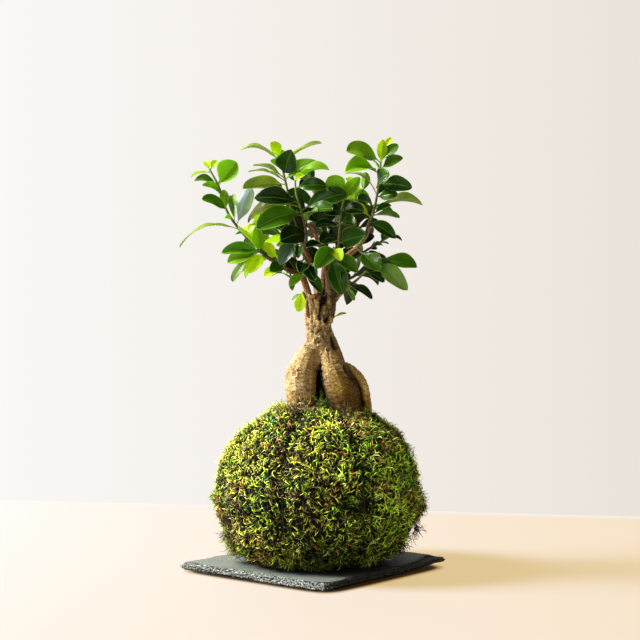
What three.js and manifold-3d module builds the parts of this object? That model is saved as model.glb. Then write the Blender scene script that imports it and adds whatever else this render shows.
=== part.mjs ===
// A small fig tree grown on a ball of moss, standing on a square slate.
// Millimetres, +Z up, -Y towards the viewer, origin on the floor under the middle of the slate.
import * as THREE from "three";
import { mergeVertices } from "three/addons/utils/BufferGeometryUtils.js";
import Module from "manifold-3d";

const wasm = await Module();
wasm.setup();

// Driving dimensions
const seatGap = 0.3; // between pieces that touch
const slate = {
  side: 150,
  turn: -39.6,
  pointsPerSide: 6,
  roughness: 1.5,
  chip: 8,
  chipAt: 6,
  chipReach: 1.5,
  // Height, inset and share of the chip of each layer, from the underside up
  layers: [[0, 1.2, 0], [1.8, 0, 0], [4.1, 0.9, 0.1], [4.4, 1.3, 0.85], [6.5, 2.3, 1]],
};
const ball = {
  x: 6,
  columns: 40,
  rows: 16,
  turn: 25,
  tuft: 1.8,
  tuftWaves: { row: 1.7, column: 2.9 },
  calmTop: 0.17,
  calmFoot: 0.2,
  skin: 9,
  threads: 8,
  groove: 3,
};
const ballProfile = [
  [0, 139], [38, 134.5], [56, 122], [72, 105.6], [82, 89], [87, 72.5],
  [88, 56], [84, 39], [76, 22], [62, 9.5], [50, 6.8],
];
const soil = { columns: 20, rows: 7 };
const thread = { radius: 0.5, lift: 1.0, sides: 3, topRow: 5, bottomRow: 14 };
const rootSides = 8;
const rootRipple = 0.05;
const limbSides = 6;
const stem = { sides: 3, start: 1.5, end: 0.9 };
const leafShape = {
  ribThickness: 1.3,
  stalkWidth: 0.8,
  stalkShare: 0.13,
  widthShare: 0.5,
  widestBlade: 20.5,
  widestLate: 1.3,
  roundness: 0.6,
  fold: 20,
};
const ringsOfLeaf = [0, 0.13, 0.3, 0.56, 0.82, 1];
const fillerLeaf = {
  length: 37,
  lengthSpread: 8,
  turn: 137.5,
  firstShare: 0.28,
  lastShare: 0.94,
  openLow: 66,
  openTop: 38,
  openEnd: 10,
  facesUp: 0.85,
  facesOut: 0.5,
  arch: 0.07,
  archSpread: 0.06,
};
const clearance = { wanted: 4.2, least: 3.1, sameTwig: 1.2, spacing: 4 };
const sampleRows = [0.3, 0.44, 0.58, 0.72, 0.86, 1];
const sampleColumns = [-1, -0.5, 0, 0.5, 1];
const turnsAside = [
  [0, 0], [0, 12], [0, -12], [12, 0], [-12, 0], [14, 14], [-14, 14], [14, -14], [-14, -14],
  [0, 26], [0, -26], [26, 0], [-26, 0], [26, 20], [-26, 20], [26, -20], [-26, -20],
  [0, 40], [0, -40], [40, 10], [-40, 10], [50, -10], [-50, -10],
];

// Each swollen root, the stump and each branch is a tapering limb with a radius at every point.
const roots = {
  leftRoot: {
    path: [[-9, -11, 94], [-8, -10, 114], [-8.2, -9, 134], [-9, -8.5, 150], [-8.6, -7.5, 160],
      [-4.4, -5, 172], [0.8, -3, 184], [4, -1, 196]],
    radii: [3, 8, 11.8, 13.2, 12.8, 11, 9, 7.5],
  },
  frontRoot: {
    path: [[32, -15, 92], [30, -14, 112], [27.5, -13, 132], [25, -13, 146], [20.5, -10, 158],
      [16.5, -7, 168], [13, -3, 180], [9, 0, 192]],
    radii: [3, 8.5, 13, 14, 13, 11.2, 10.5, 9.5],
  },
  rearRoot: {
    path: [[43, 17, 96], [41.5, 16, 120], [40, 15, 140], [36.5, 13.5, 152], [30, 10, 162], [20, 5, 172]],
    radii: [3.5, 8, 9.6, 10, 9.8, 9.5],
  },
  backRoot: {
    path: [[-4, 25, 94], [-3, 23, 116], [-2, 21, 140], [0, 17, 158], [4, 9, 176], [6, 3, 190]],
    radii: [3, 8, 11, 11, 10.5, 8],
  },
  crown: {
    path: [[8, 0, 166], [7, 0, 180], [6.2, 0, 190], [5.7, 0, 198], [6, 0, 206]],
    radii: [12, 12.8, 11.4, 10.8, 10.5],
  },
  stump: {
    path: [[4.5, 0, 196], [3.4, 0, 207], [2.6, 0, 217], [3.2, -0.5, 226.5]],
    radii: [9.5, 9.8, 8.9, 7.5],
  },
};

const limbs = {
  leftBranch: {
    path: [[-1.5, -1, 221.5], [-8, -6, 240.5], [-19.5, -10, 246], [-30, -13, 252.5], [-39, -16, 258]],
    radii: [3.2, 2.6, 2.1, 1.8, 1.5],
  },
  frontBranch: {
    path: [[9, -1, 198], [14, -2, 210], [15.2, -2, 220], [15, -3, 234.5], [11.5, -8, 252.5],
      [6, -13, 268], [-2, -16, 285]],
    radii: [6, 5.2, 5, 3.9, 2.6, 2, 1.9],
  },
  rightBranch: {
    path: [[16, 0, 228], [21, 0, 246.5], [29, 2, 258], [37.5, 3, 265], [45, 3, 275], [47.5, 4, 283]],
    radii: [3.6, 2.9, 2.5, 2.2, 1.9, 1.6],
  },
  middleBranch: {
    path: [[6, 4, 223.5], [1, 6, 245], [-5, 6, 263.5], [-10, 5, 276.5]],
    radii: [3.4, 2.8, 2.3, 1.8],
  },
  lowRightBranch: {
    path: [[17.5, -1, 220], [24, -4, 227.5], [29, -6, 231], [33, -8, 234.5]],
    radii: [2.6, 2, 1.7, 1.3],
  },
  backBranch: {
    path: [[8, 5, 213], [10, 17, 243], [11, 25, 258]],
    radii: [3.2, 2.5, 1.9],
  },
  backLeftBranch: {
    path: [[1, 5, 213], [-7, 17, 241], [-15, 28, 254]],
    radii: [3, 2.3, 1.8],
  },
  backRightBranch: {
    path: [[13, 3, 212], [24, 16, 243], [33, 27, 256]],
    radii: [3.2, 2.4, 1.8],
  },
};

// A leaf row is its share of the way up the twig, the x, y and z of its tip, how far its blade
// faces the viewer (0 faces up, 1 faces the viewer, below 0 away) and its arch.
const shoots = {
  left_top: {
    twig: [[-33.5, -13, 254], [-50.5, -13, 269.5], [-68, -15, 291.5], [-76, -14, 314], [-84, -12, 329]],
    leaves: [
      [0.36, -108, -24, 269, 0.1, 0.16], [0.4, -50, -6, 313, -0.75, 0.05],
      [0.42, -66, 4, 310, 0.5, 0.05], [0.52, -87, -32, 304, 0.55, 0.1],
      [0.54, -72, -20, 311, 0.8, 0.08], [0.66, -88, -26, 315, 0.55, 0.1],
      [0.76, -96, -14, 320, 0.5, 0.14], [0.76, -55, -18, 326, 0.85, 0.08],
      [0.95, -101, -10, 324, 0.15, 0.08], [0.98, -88, -10, 336, 0.6, 0.05],
      [0.98, -78, -4, 337, 0.5, 0.05],
    ],
    fillers: 2,
  },
  left_low: {
    twig: [[-39, -17, 258], [-42, -22, 260.5], [-45, -27, 261.5]],
    leaves: [
      [0.7, -71, -40, 260, 0.75, 0.16], [0.5, -44, -40, 280, 0.9, 0.06],
      [0.6, -65, -26, 237, 0.5, 0.1], [0.2, -50, -36, 244, 0.7, 0.08], [0.9, -59, -12, 274, 0.4, 0.06],
    ],
    fillers: 1,
  },
  lower_left: {
    twig: [[-19.5, -10, 246], [-24, -18, 250.5], [-28, -24, 255.5]],
    leaves: [
      [0.4, -32, -38, 245, 0.8, 0.06], [0.3, -39, -18, 241, 0.6, 0.06],
      [0.9, -40, -30, 267, 0.6, 0.08],
    ],
    fillers: 1,
  },
  left_front: {
    twig: [[0, 6, 246.5], [-7, -12, 258.5], [-14, -28, 269]],
    leaves: [
      [0.97, -23, -42, 247, 0.8, 0.12], [0.8, -8, -46, 250, 0.5, 0.1], [0.6, -28, -18, 268, 0.5, 0.1],
    ],
    fillers: 1,
  },
  centre_left: {
    twig: [[-10, 5, 276.5], [-17.5, 2, 299.5], [-22, 0, 321], [-27, -2, 339]],
    leaves: [
      [0.95, -59, 6, 350, 0.3, 0.12], [0.98, -31, -6, 346, 0.5, 0.06], [0.99, -22, 6, 346, 0.6, 0.08],
      [0.74, -17, -22, 342, 0.95, 0.06], [0.86, 8, 8, 353, 0.2, 0.1], [0.68, -48, 2, 335, 0.25, 0.08],
      [0.64, -52, -14, 328, 0.15, 0.1], [0.6, -56, -26, 312, 0.7, 0.08],
      [0.66, 3, -20, 334, 0.7, 0.12],
    ],
    fillers: 2,
  },
  centre_front: {
    twig: [[-5, 6, 265], [-4.5, -12, 277], [-8, -20, 293], [-12.5, -22, 307.5], [-13.5, -22, 319]],
    leaves: [
      [0.62, -44, -38, 304, 0.75, 0.1], [0.97, 13, -34, 328, 0.4, 0.1],
      [0.99, -6, -34, 322, 0.8, 0.06], [0.97, -18, -20, 322, 0.6, 0.06],
      [0.85, 11, -32, 314, 0.75, 0.1], [0.5, -43, -44, 280, 0.75, 0.1],
      [0.56, -53, -12, 287, 0.45, 0.2], [0.52, 28, -28, 308, 0.65, 0.08],
      [0.42, 16, -42, 295, 0.5, 0.08], [0.34, 5, -54, 293, 0.45, 0.06],
      [0.22, -23, -46, 270, 0.8, 0.06],
    ],
    fillers: 2,
  },
  centre_right: {
    twig: [[21, -1, 247], [22.5, -10, 270.5], [24, -15, 291.5], [27, -16, 306.5]],
    leaves: [
      [0.97, 13, -28, 317, 0.65, 0.1], [0.95, 41, -26, 315, 0.9, 0.08], [0.93, 38, 4, 305, 0.8, 0.05],
      [0.7, 13, -38, 292, 0.85, 0.08], [0.72, 41, -34, 294, 0.7, 0.08], [0.5, 34, -40, 283, 0.7, 0.1],
      [0.5, 4, -24, 283, 0.5, 0.08], [0.3, 43, -42, 273, 0.9, 0.06], [0.35, 8, -36, 269, 0.6, 0.08],
    ],
    fillers: 2,
  },
  right_top: {
    twig: [[47.5, 4, 282.5], [52.5, 4, 300], [56, 2, 321], [57.5, 0, 341]],
    leaves: [
      [0.9, 29, -14, 343, 0.85, 0.1], [0.74, 28, -20, 325, 0.8, 0.12], [0.99, 66, 2, 357, 0.5, 0.04],
      [0.93, 71, -4, 350, 0.7, 0.06], [0.82, 75, -10, 336, 0.75, 0.05], [0.46, 29, 12, 329, 0.1, 0.18],
      [0.62, 81, -14, 314, 0.85, 0.1], [0.58, 60, -30, 323, 0.8, 0.08],
      [0.28, 91, -6, 301, 0.35, 0.12], [0.26, 39, -20, 305, 0.6, 0.08],
    ],
    fillers: 2,
  },
  right_mid: {
    twig: [[45, 3, 275], [46.5, -7, 284], [50.5, -12, 292]],
    leaves: [
      [0.6, 69, -26, 272, 0.8, 0.08], [0.9, 72, -14, 291, 0.5, 0.1], [0.98, 65, -10, 300, 0.55, 0.06],
      [0.8, 32, -8, 300, 0.5, 0.08],
    ],
    fillers: 1,
  },
  right_low: {
    twig: [[37.5, 3, 265], [44.5, -6, 257.5], [52, -10, 253.5]],
    leaves: [
      [1, 87, -8, 248, 0.8, 0.06], [0.98, 77, -34, 230, 0.85, 0.08], [0.95, 76, -22, 246, 0.6, 0.08],
      [0.3, 54, -32, 245, 0.75, 0.06], [0.5, 64, 12, 264, 0.3, 0.08],
    ],
    fillers: 1,
  },
  right_twig: {
    twig: [[32.5, -8, 234], [36.5, -9, 237.5], [40, -10, 240.5], [44.5, -12, 245]],
    leaves: [
      [1, 59, -20, 237, 0.6, 0.06], [0.95, 62, -4, 243, 0.5, 0.08],
    ],
    fillers: 0,
  },
  low_right: {
    twig: [[26.5, -5, 229.5], [28, -11, 232], [29.5, -17, 235]],
    leaves: [
      [0.8, 49, -26, 224, 0.5, 0.1], [0.6, 36, -18, 220, 0.6, 0.06], [0.9, 23, -34, 244, 0.8, 0.06],
    ],
    fillers: 0,
  },
  front_low: {
    twig: [[11.5, -8, 252.5], [15.5, -24, 258.5], [18, -34, 263.5]],
    leaves: [
      [1, 3, -56, 246, 0.95, 0.08], [0.9, 23, -50, 254, 0.7, 0.06], [0.4, 25, -34, 227, 0.75, 0.06],
      [0.5, 37, -34, 245, 0.7, 0.08],
    ],
    fillers: 1,
  },
  front_left_low: {
    twig: [[-7, -6, 239], [-5.5, -18, 245], [-5.5, -28, 252]],
    leaves: [
      [0.95, -9, -50, 243, 0.85, 0.06], [0.9, 2, -48, 238, 0.8, 0.06],
      [0.35, -18, -22, 234, 0.7, 0.06], [0.5, 8, -30, 228, 0.7, 0.06],
    ],
    fillers: 1,
  },
  trunk_left: {
    twig: [[-4, -2, 221.5], [-7.5, -7, 228.5]],
    leaves: [[1, -11, -12, 212, 0.85, 0.05], [0.8, -21, -8, 226, -0.5, 0.06]],
    fillers: 0,
  },
  trunk_right: {
    twig: [[15, -3, 205], [18.5, -1, 207.5]],
    leaves: [
      [1, 31, 4, 211, 0.35, 0.08],
    ],
    fillers: 0,
  },
  back_top: {
    twig: [[11, 24.5, 257], [8, 29, 286], [1, 28, 318]],
    leaves: [],
    fillers: 8,
  },
  middle_left: {
    twig: [[-2, 6, 254], [-8, 17, 266], [-13, 22, 282]],
    leaves: [],
    fillers: 5,
  },
  middle_right: {
    twig: [[10.2, 18, 245], [18, 20, 259], [23, 21, 276]],
    leaves: [],
    fillers: 5,
  },
  back_top_right: {
    twig: [[28.5, 21.5, 249.5], [36, 28, 282], [43, 25, 313]],
    leaves: [],
    fillers: 8,
  },
  back_top_left: {
    twig: [[-11, 22, 247.5], [-21, 27, 276], [-34, 26, 306]],
    leaves: [],
    fillers: 8,
  },
  back_left_side: {
    twig: [[-14.5, 27.5, 253.5], [-31, 36, 264], [-49, 36, 274]],
    leaves: [],
    fillers: 6,
  },
  back_right_side: {
    twig: [[33, 26.5, 255.5], [49, 34, 266], [66, 32, 276]],
    leaves: [],
    fillers: 6,
  },
  back_middle: {
    twig: [[10.3, 19.5, 248], [13, 38, 267], [12, 53, 289]],
    leaves: [],
    fillers: 6,
  },
  back_low_left: {
    twig: [[-6, 16, 239.5], [-15, 33, 240], [-24, 46, 245]],
    leaves: [],
    fillers: 5,
  },
  back_low_right: {
    twig: [[22.5, 14, 240], [32, 30, 240], [42, 43, 246]],
    leaves: [],
    fillers: 5,
  },
};

const upwards = new THREE.Vector3(0, 0, 1);
const finishes = {
  slate: { color: 0x4d5653, roughness: 0.75 },
  soil: { color: 0x2e2219, roughness: 1 },
  moss: { color: 0x76822c, roughness: 1 },
  thread: { color: 0x2f3a1c, roughness: 0.7 },
  bark: { color: 0xb79a74, roughness: 0.8 },
  leaf: { color: 0x3f6b22, roughness: 0.45 },
};

// A repeatable draw from 0 to 1.
function draw(seed) {
  const value = Math.sin(seed * 12.9898 + 78.233) * 43758.5453;
  return value - Math.floor(value);
}

const vector = (point) => new THREE.Vector3(...point);
const curveThrough = (path) => new THREE.CatmullRomCurve3(path.map(vector), false, "catmullrom", 0.5);

// The axis that a direction leans on least, made square to it.
function squareTo(direction) {
  const parts = direction.toArray().map(Math.abs);
  const axis = [0, 0, 0];
  axis[parts.indexOf(Math.min(...parts))] = 1;
  return vector(axis).addScaledVector(direction, -vector(axis).dot(direction)).normalize();
}

// A closed mesh as a solid, with shared corners merged and flat faces at the poles left out.
function solidOf(geometry) {
  const bare = new THREE.BufferGeometry();
  bare.setAttribute("position", geometry.getAttribute("position"));
  bare.setIndex(geometry.getIndex());
  const merged = mergeVertices(bare, 1e-4);
  const corners = merged.getIndex().array;
  const kept = [];
  for (let i = 0; i < corners.length; i += 3) {
    const [a, b, c] = corners.subarray(i, i + 3);
    if (a !== b && b !== c && c !== a) kept.push(a, b, c);
  }
  const vertProperties = merged.getAttribute("position").array;
  return new wasm.Manifold(
    new wasm.Mesh({ numProp: 3, vertProperties, triVerts: new Uint32Array(kept) }),
  );
}

// Rings of points stacked one after the other, each counterclockwise round the way they are stacked.
// Quads split along the other diagonal where their number is in otherWay.
function solidOver(rings, { ends = null, otherWay = [], closed = false } = {}) {
  const sides = rings[0].length;
  const points = rings.flat();
  const faces = [];
  const spans = closed ? rings.length : rings.length - 1;
  for (let i = 0; i < spans; i++) {
    const next = ((i + 1) % rings.length) * sides;
    for (let j = 0; j < sides; j++) {
      const k = (j + 1) % sides;
      const [a, b, c, d] = [i * sides + j, i * sides + k, next + k, next + j];
      if (otherWay.includes(j)) faces.push(a, b, d, b, c, d);
      else faces.push(a, b, c, a, c, d);
    }
  }
  if (!closed) {
    const last = (rings.length - 1) * sides;
    if (ends) {
      for (const [a, b, c] of ends) faces.push(c, b, a, last + a, last + b, last + c);
    } else {
      for (const [start, way] of [[0, -1], [last, 1]]) {
        const middle = new THREE.Vector3();
        for (let j = 0; j < sides; j++) middle.addScaledVector(points[start + j], 1 / sides);
        points.push(middle);
        for (let j = 0; j < sides; j++) {
          const [a, b] = [start + j, start + ((j + 1) % sides)];
          if (way > 0) faces.push(a, b, points.length - 1);
          else faces.push(b, a, points.length - 1);
        }
      }
    }
  }
  return solidOf(new THREE.BufferGeometry().setFromPoints(points).setIndex(faces));
}

// A tapering tube through a row of points, with a ring at each of them.
function tubeSolid({ points, radiusAt, sides, ripple = 0, closed = false }) {
  const count = points.length;
  const rings = [];
  let across = null;
  for (const [i, middle] of points.entries()) {
    const ahead = points[closed ? (i + 1) % count : Math.min(i + 1, count - 1)];
    const behind = points[closed ? (i + count - 1) % count : Math.max(i - 1, 0)];
    const along = ahead.clone().sub(behind).normalize();
    across = across
      ? across.clone().addScaledVector(along, -across.dot(along)).normalize()
      : squareTo(along);
    const up = along.clone().cross(across);
    const share = i / (count - 1);
    const ring = [];
    for (let j = 0; j < sides; j++) {
      const turn = (2 * Math.PI * j) / sides;
      const radius = radiusAt(share) * (1 + ripple * Math.sin(3 * turn + 9 * share));
      ring.push(
        middle
          .clone()
          .addScaledVector(across, radius * Math.cos(turn))
          .addScaledVector(up, radius * Math.sin(turn)),
      );
    }
    rings.push(ring);
  }
  return solidOver(rings, { closed });
}

function limbRadius(limb, share) {
  const place = share * (limb.radii.length - 1);
  const below = Math.min(Math.floor(place), limb.radii.length - 2);
  return THREE.MathUtils.lerp(limb.radii[below], limb.radii[below + 1], place - below);
}

const sharesOf = (count) => Array.from({ length: count }, (_, i) => i / (count - 1));

// All the wood, with its surface moved out by a margin.
function woodSolid(margin) {
  const parts = [];
  for (const [group, sides, ripple] of [[roots, rootSides, rootRipple], [limbs, limbSides, 0]]) {
    for (const limb of Object.values(group)) {
      parts.push(
        tubeSolid({
          points: limb.path.map(vector),
          radiusAt: (share) => limbRadius(limb, share) + margin,
          sides,
          ripple,
        }),
      );
    }
  }
  return wasm.Manifold.union(parts);
}

// The piece of a solid that holds nearly all of it, without loose scraps.
function largestBody(solid) {
  return solid.decompose().reduce((most, body) => (body.volume() > most.volume() ? body : most));
}

// A leaf is a base, a heading, the way its blade faces, a length and an arch.
function leafTo(base, tip, face, arch) {
  const heading = tip.clone().sub(base);
  const length = heading.length();
  heading.normalize();
  const facing = new THREE.Vector3(0, -face, 1 - Math.abs(face));
  facing.addScaledVector(heading, -facing.dot(heading)).normalize();
  return { base, heading, facing, length, arch };
}

// A leaf's point by its share of the length, its share of the half width and its height over the blade.
function leafPoint(leaf, along, across, height = 0) {
  const { stalkShare, stalkWidth, widthShare, widestBlade, widestLate, roundness, fold } = leafShape;
  const blade = Math.max(0, (along - stalkShare) / (1 - stalkShare)) ** widestLate;
  const width = Math.min(widestBlade, widthShare * leaf.length);
  const swell = Math.max(0, Math.sin(Math.PI * blade)) ** roundness;
  const half = Math.max(stalkWidth, width * swell) / 2;
  const lean = THREE.MathUtils.degToRad(fold);
  const rise = leaf.length * leaf.arch * 4 * along * (1 - along) + half * Math.abs(across) * Math.sin(lean);
  const side = leaf.heading.clone().cross(leaf.facing);
  return leaf.base
    .clone()
    .addScaledVector(leaf.heading, leaf.length * along)
    .addScaledVector(leaf.facing, rise + height)
    .addScaledVector(side, half * across * Math.cos(lean));
}

function leafSolid(leaf) {
  const half = leafShape.ribThickness / 2;
  const section = [[-1, 0], [0, half], [1, 0], [0, -half]];
  const rings = ringsOfLeaf.map((along) =>
    section.map(([across, height]) => leafPoint(leaf, along, across, height)),
  );
  return solidOver(rings, { ends: [[0, 1, 2], [0, 2, 3]], otherWay: [1, 3] });
}

// The leaf turned about its base, sideways and then up.
function turnedLeaf(leaf, sideways, upwards) {
  const yaw = THREE.MathUtils.degToRad(sideways);
  const pitch = THREE.MathUtils.degToRad(upwards);
  const side = leaf.heading.clone().cross(leaf.facing);
  const level = leaf.heading.clone().multiplyScalar(Math.cos(yaw)).addScaledVector(side, Math.sin(yaw));
  const heading = level.clone().multiplyScalar(Math.cos(pitch)).addScaledVector(leaf.facing, Math.sin(pitch));
  const facing = leaf.facing.clone().multiplyScalar(Math.cos(pitch)).addScaledVector(level, -Math.sin(pitch));
  return { ...leaf, heading, facing };
}

function leafSamples(leaf) {
  const samples = [];
  for (const along of sampleRows) {
    for (const across of sampleColumns) samples.push(leafPoint(leaf, along, across));
  }
  return samples;
}

// What a new leaf has to stay clear of: balls of wood and twig, and the points of the leaves before it.
const taken = [];

function takeCurve(path, radiusAt, owner) {
  const curve = curveThrough(path);
  const count = Math.ceil(curve.getLength() / clearance.spacing) + 1;
  for (const share of sharesOf(count)) {
    taken.push({ at: curve.getPoint(share), radius: radiusAt(share), owner, wood: true });
  }
}

function roomRound(samples, owner) {
  let room = Infinity;
  for (const { at, radius, owner: other, wood } of taken) {
    if (wood && other === owner) continue;
    const reach = radius - (other === owner ? clearance.sameTwig : 0);
    for (const sample of samples) room = Math.min(room, sample.distanceTo(at) - reach);
  }
  return room;
}

// The first turn that leaves the wanted room, or else the roomiest one, or nothing in a full spot.
function settledLeaf(leaf, owner) {
  let best = { room: -Infinity };
  for (const [sideways, upwards] of turnsAside) {
    const tried = turnedLeaf(leaf, sideways, upwards);
    const samples = leafSamples(tried);
    const room = roomRound(samples, owner);
    if (room > best.room) best = { room, tried, samples };
    if (room >= clearance.wanted) break;
  }
  if (best.room < clearance.least) return null;
  for (const at of best.samples) taken.push({ at, radius: 0, owner, wood: false });
  return best.tried;
}

// A leaf placed by rule: each one turns on by the same angle, and they close up towards the tip.
function fillerLeafOn(curve, number, count, seed) {
  const rule = fillerLeaf;
  const atEnd = number === count - 1 && count > 2;
  const share = atEnd ? 1 : THREE.MathUtils.lerp(rule.firstShare, rule.lastShare, (number + 0.5) / count);
  const along = curve.getTangent(share);
  const across = squareTo(along);
  const up = along.clone().cross(across);
  const turn = THREE.MathUtils.degToRad(rule.turn * number + 360 * draw(seed));
  const opening = atEnd ? rule.openEnd : THREE.MathUtils.lerp(rule.openLow, rule.openTop, share);
  const open = THREE.MathUtils.degToRad(opening);
  const base = curve.getPoint(share);
  const heading = along
    .clone()
    .multiplyScalar(Math.cos(open))
    .addScaledVector(across, Math.sin(open) * Math.cos(turn))
    .addScaledVector(up, Math.sin(open) * Math.sin(turn));
  const length = rule.length + rule.lengthSpread * (draw(seed + number + 0.5) - 0.5);
  const outward = new THREE.Vector3(base.x - ball.x, base.y, 0).normalize();
  const facing = new THREE.Vector3(0, 0, rule.facesUp).addScaledVector(outward, rule.facesOut);
  facing.addScaledVector(heading, -facing.dot(heading)).normalize();
  const arch = rule.arch + rule.archSpread * draw(seed + 2 * number);
  return { base, heading, facing, length, arch };
}

function shootLeaves() {
  for (const [name, limb] of [...Object.entries(roots), ...Object.entries(limbs)]) {
    takeCurve(limb.path, (share) => limbRadius(limb, share), name);
  }
  for (const [name, shoot] of Object.entries(shoots)) takeCurve(shoot.twig, () => stem.start, name);
  const leaves = Object.fromEntries(Object.keys(shoots).map((name) => [name, []]));
  for (const [name, shoot] of Object.entries(shoots)) {
    const curve = curveThrough(shoot.twig);
    for (const [share, x, y, z, face, arch] of shoot.leaves) {
      leaves[name].push(settledLeaf(leafTo(curve.getPoint(share), vector([x, y, z]), face, arch), name));
    }
  }
  for (const [place, [name, shoot]] of Object.entries(shoots).entries()) {
    const curve = curveThrough(shoot.twig);
    for (let k = 0; k < shoot.fillers; k++) {
      leaves[name].push(settledLeaf(fillerLeafOn(curve, k, shoot.fillers, 10 * place + 3), name));
    }
  }
  for (const name of Object.keys(leaves)) leaves[name] = leaves[name].filter(Boolean);
  return leaves;
}

function shootSolid(shoot, leaves, wood) {
  const twig = tubeSolid({
    points: shoot.twig.map(vector),
    radiusAt: (share) => THREE.MathUtils.lerp(stem.start, stem.end, share),
    sides: stem.sides,
  });
  return largestBody(wasm.Manifold.union([twig, ...leaves.map(leafSolid)]).subtract(wood));
}

// The ball's outline from its crown down to its flat spot, and the way out of it at each share.
const outline = new THREE.SplineCurve(ballProfile.map(([r, z]) => new THREE.Vector2(r, z)));

function outlineAt(share, inset = 0) {
  const point = outline.getPoint(share);
  const tangent = outline.getTangent(share);
  const out = new THREE.Vector2(-tangent.y, tangent.x);
  return { point: point.addScaledVector(out, -inset), out };
}

const grooveEvery = ball.columns / ball.threads;
const columnTurn = (column) => THREE.MathUtils.degToRad((360 * column) / ball.columns + ball.turn);

// A corner of the moss: tufts stand up by a draw, and furrows run down under the thread.
function mossPoint(row, column, lift = 0) {
  const share = row / ball.rows;
  const { point, out } = outlineAt(share);
  const furrow = column % grooveEvery === 0;
  const waves = ball.tuftWaves.row * row + ball.tuftWaves.column * column;
  const tuft = 0.6 * Math.sin(waves) + 1.8 * (draw(row * ball.columns + column) - 0.5);
  const relief = furrow ? -ball.groove : ball.tuft * tuft;
  const height = relief * Math.min(1, share / ball.calmTop, (1 - share) / ball.calmFoot) + lift;
  const radius = point.x + out.x * height;
  const turn = columnTurn(column);
  return new THREE.Vector3(
    ball.x + radius * Math.cos(turn),
    radius * Math.sin(turn),
    point.y + out.y * height,
  );
}

function mossOuter() {
  const rings = [];
  for (let row = ball.rows; row > 0; row--) {
    rings.push(Array.from({ length: ball.columns }, (_, column) => mossPoint(row, column)));
  }
  return solidOver(rings);
}

function soilSolid(inset) {
  const profile = sharesOf(soil.rows + 1).reverse().map((share) => outlineAt(share, inset).point);
  profile.at(-1).x = 0;
  profile.unshift(new THREE.Vector2(0, profile[0].y));
  const lathe = new THREE.LatheGeometry(profile, soil.columns);
  lathe.rotateX(Math.PI / 2);
  lathe.translate(ball.x, 0, 0);
  return solidOf(lathe);
}

// The thread runs down every furrow, and round the ball above and below.
function threadSolid() {
  const { radius, lift, sides, topRow, bottomRow } = thread;
  const strand = (places, closed) =>
    tubeSolid({
      points: places.map(([row, column]) => mossPoint(row, column, lift)),
      radiusAt: () => radius,
      sides,
      closed,
    });
  const columns = Array.from({ length: ball.columns }, (_, column) => column);
  const rows = Array.from({ length: bottomRow - topRow + 1 }, (_, row) => topRow + row);
  const parts = [topRow, bottomRow].map((row) => strand(columns.map((column) => [row, column]), true));
  for (const column of columns.filter((number) => number % grooveEvery === 0)) {
    parts.push(strand(rows.map((row) => [row, column]), false));
  }
  return wasm.Manifold.union(parts);
}

// The slate is split stone: each layer has its own ragged outline, and the right corner has lost a chip.
function slateSolid() {
  const { side, pointsPerSide, roughness, chip, chipAt, chipReach, layers } = slate;
  const rings = layers.map(([height, inset, chipShare], layer) => {
    const ring = [];
    for (let number = 0; number < 4 * pointsPerSide; number++) {
      const edge = Math.floor(number / pointsPerSide);
      const share = (number % pointsPerSide) / pointsPerSide;
      const nearChip = Math.max(0, 1 - Math.abs(number - chipAt) / chipReach);
      const ragged = roughness * draw(97 * layer + number) + (share === 0 ? roughness : 0);
      const half = side / 2 - inset - ragged - chip * chipShare * nearChip;
      const along = side * (share - 0.5) * (half / (side / 2));
      const corner = new THREE.Vector3(half, along, height);
      ring.push(corner.applyAxisAngle(upwards, (edge * Math.PI) / 2 + THREE.MathUtils.degToRad(slate.turn)));
    }
    return ring;
  });
  return solidOver(rings);
}

function mesh(name, solid, finish) {
  const made = solid.getMesh();
  const geometry = new THREE.BufferGeometry();
  geometry.setAttribute("position", new THREE.BufferAttribute(made.vertProperties, made.numProp));
  geometry.setIndex(new THREE.BufferAttribute(made.triVerts, 1));
  geometry.computeVertexNormals();
  const named = new THREE.Mesh(geometry, new THREE.MeshStandardMaterial(finish));
  named.name = name;
  return named;
}

const plant = new THREE.Group();
const seatWood = woodSolid(seatGap);
plant.add(mesh("slate_plate", slateSolid(), finishes.slate));
plant.add(mesh("soil_ball", largestBody(soilSolid(ball.skin).subtract(seatWood)), finishes.soil));
plant.add(
  mesh(
    "moss_skin",
    largestBody(mossOuter().subtract(soilSolid(ball.skin - seatGap)).subtract(seatWood)),
    finishes.moss,
  ),
);
plant.add(mesh("binding_thread", threadSolid(), finishes.thread));
plant.add(mesh("trunk", woodSolid(0), finishes.bark));
for (const [name, leaves] of Object.entries(shootLeaves())) {
  plant.add(mesh("leafy_shoot_" + name, shootSolid(shoots[name], leaves, seatWood), finishes.leaf));
}

export default plant;
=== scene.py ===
import math

import bpy
import numpy as np
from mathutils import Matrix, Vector, noise


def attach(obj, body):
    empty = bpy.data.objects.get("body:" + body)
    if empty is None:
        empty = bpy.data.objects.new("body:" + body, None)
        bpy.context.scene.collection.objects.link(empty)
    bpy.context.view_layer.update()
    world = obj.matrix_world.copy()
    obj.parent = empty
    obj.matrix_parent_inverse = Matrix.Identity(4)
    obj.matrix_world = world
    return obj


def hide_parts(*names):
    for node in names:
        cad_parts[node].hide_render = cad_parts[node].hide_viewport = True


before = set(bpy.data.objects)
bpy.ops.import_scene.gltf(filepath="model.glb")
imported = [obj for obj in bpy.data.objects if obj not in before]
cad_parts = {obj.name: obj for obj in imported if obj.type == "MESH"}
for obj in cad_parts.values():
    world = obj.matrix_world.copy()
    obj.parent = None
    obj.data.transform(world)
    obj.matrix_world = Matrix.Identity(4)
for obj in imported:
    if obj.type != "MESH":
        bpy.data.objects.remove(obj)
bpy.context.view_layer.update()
mm = 0.001
print("frame loaded:", len(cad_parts), "nodes")


# Small tools

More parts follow.
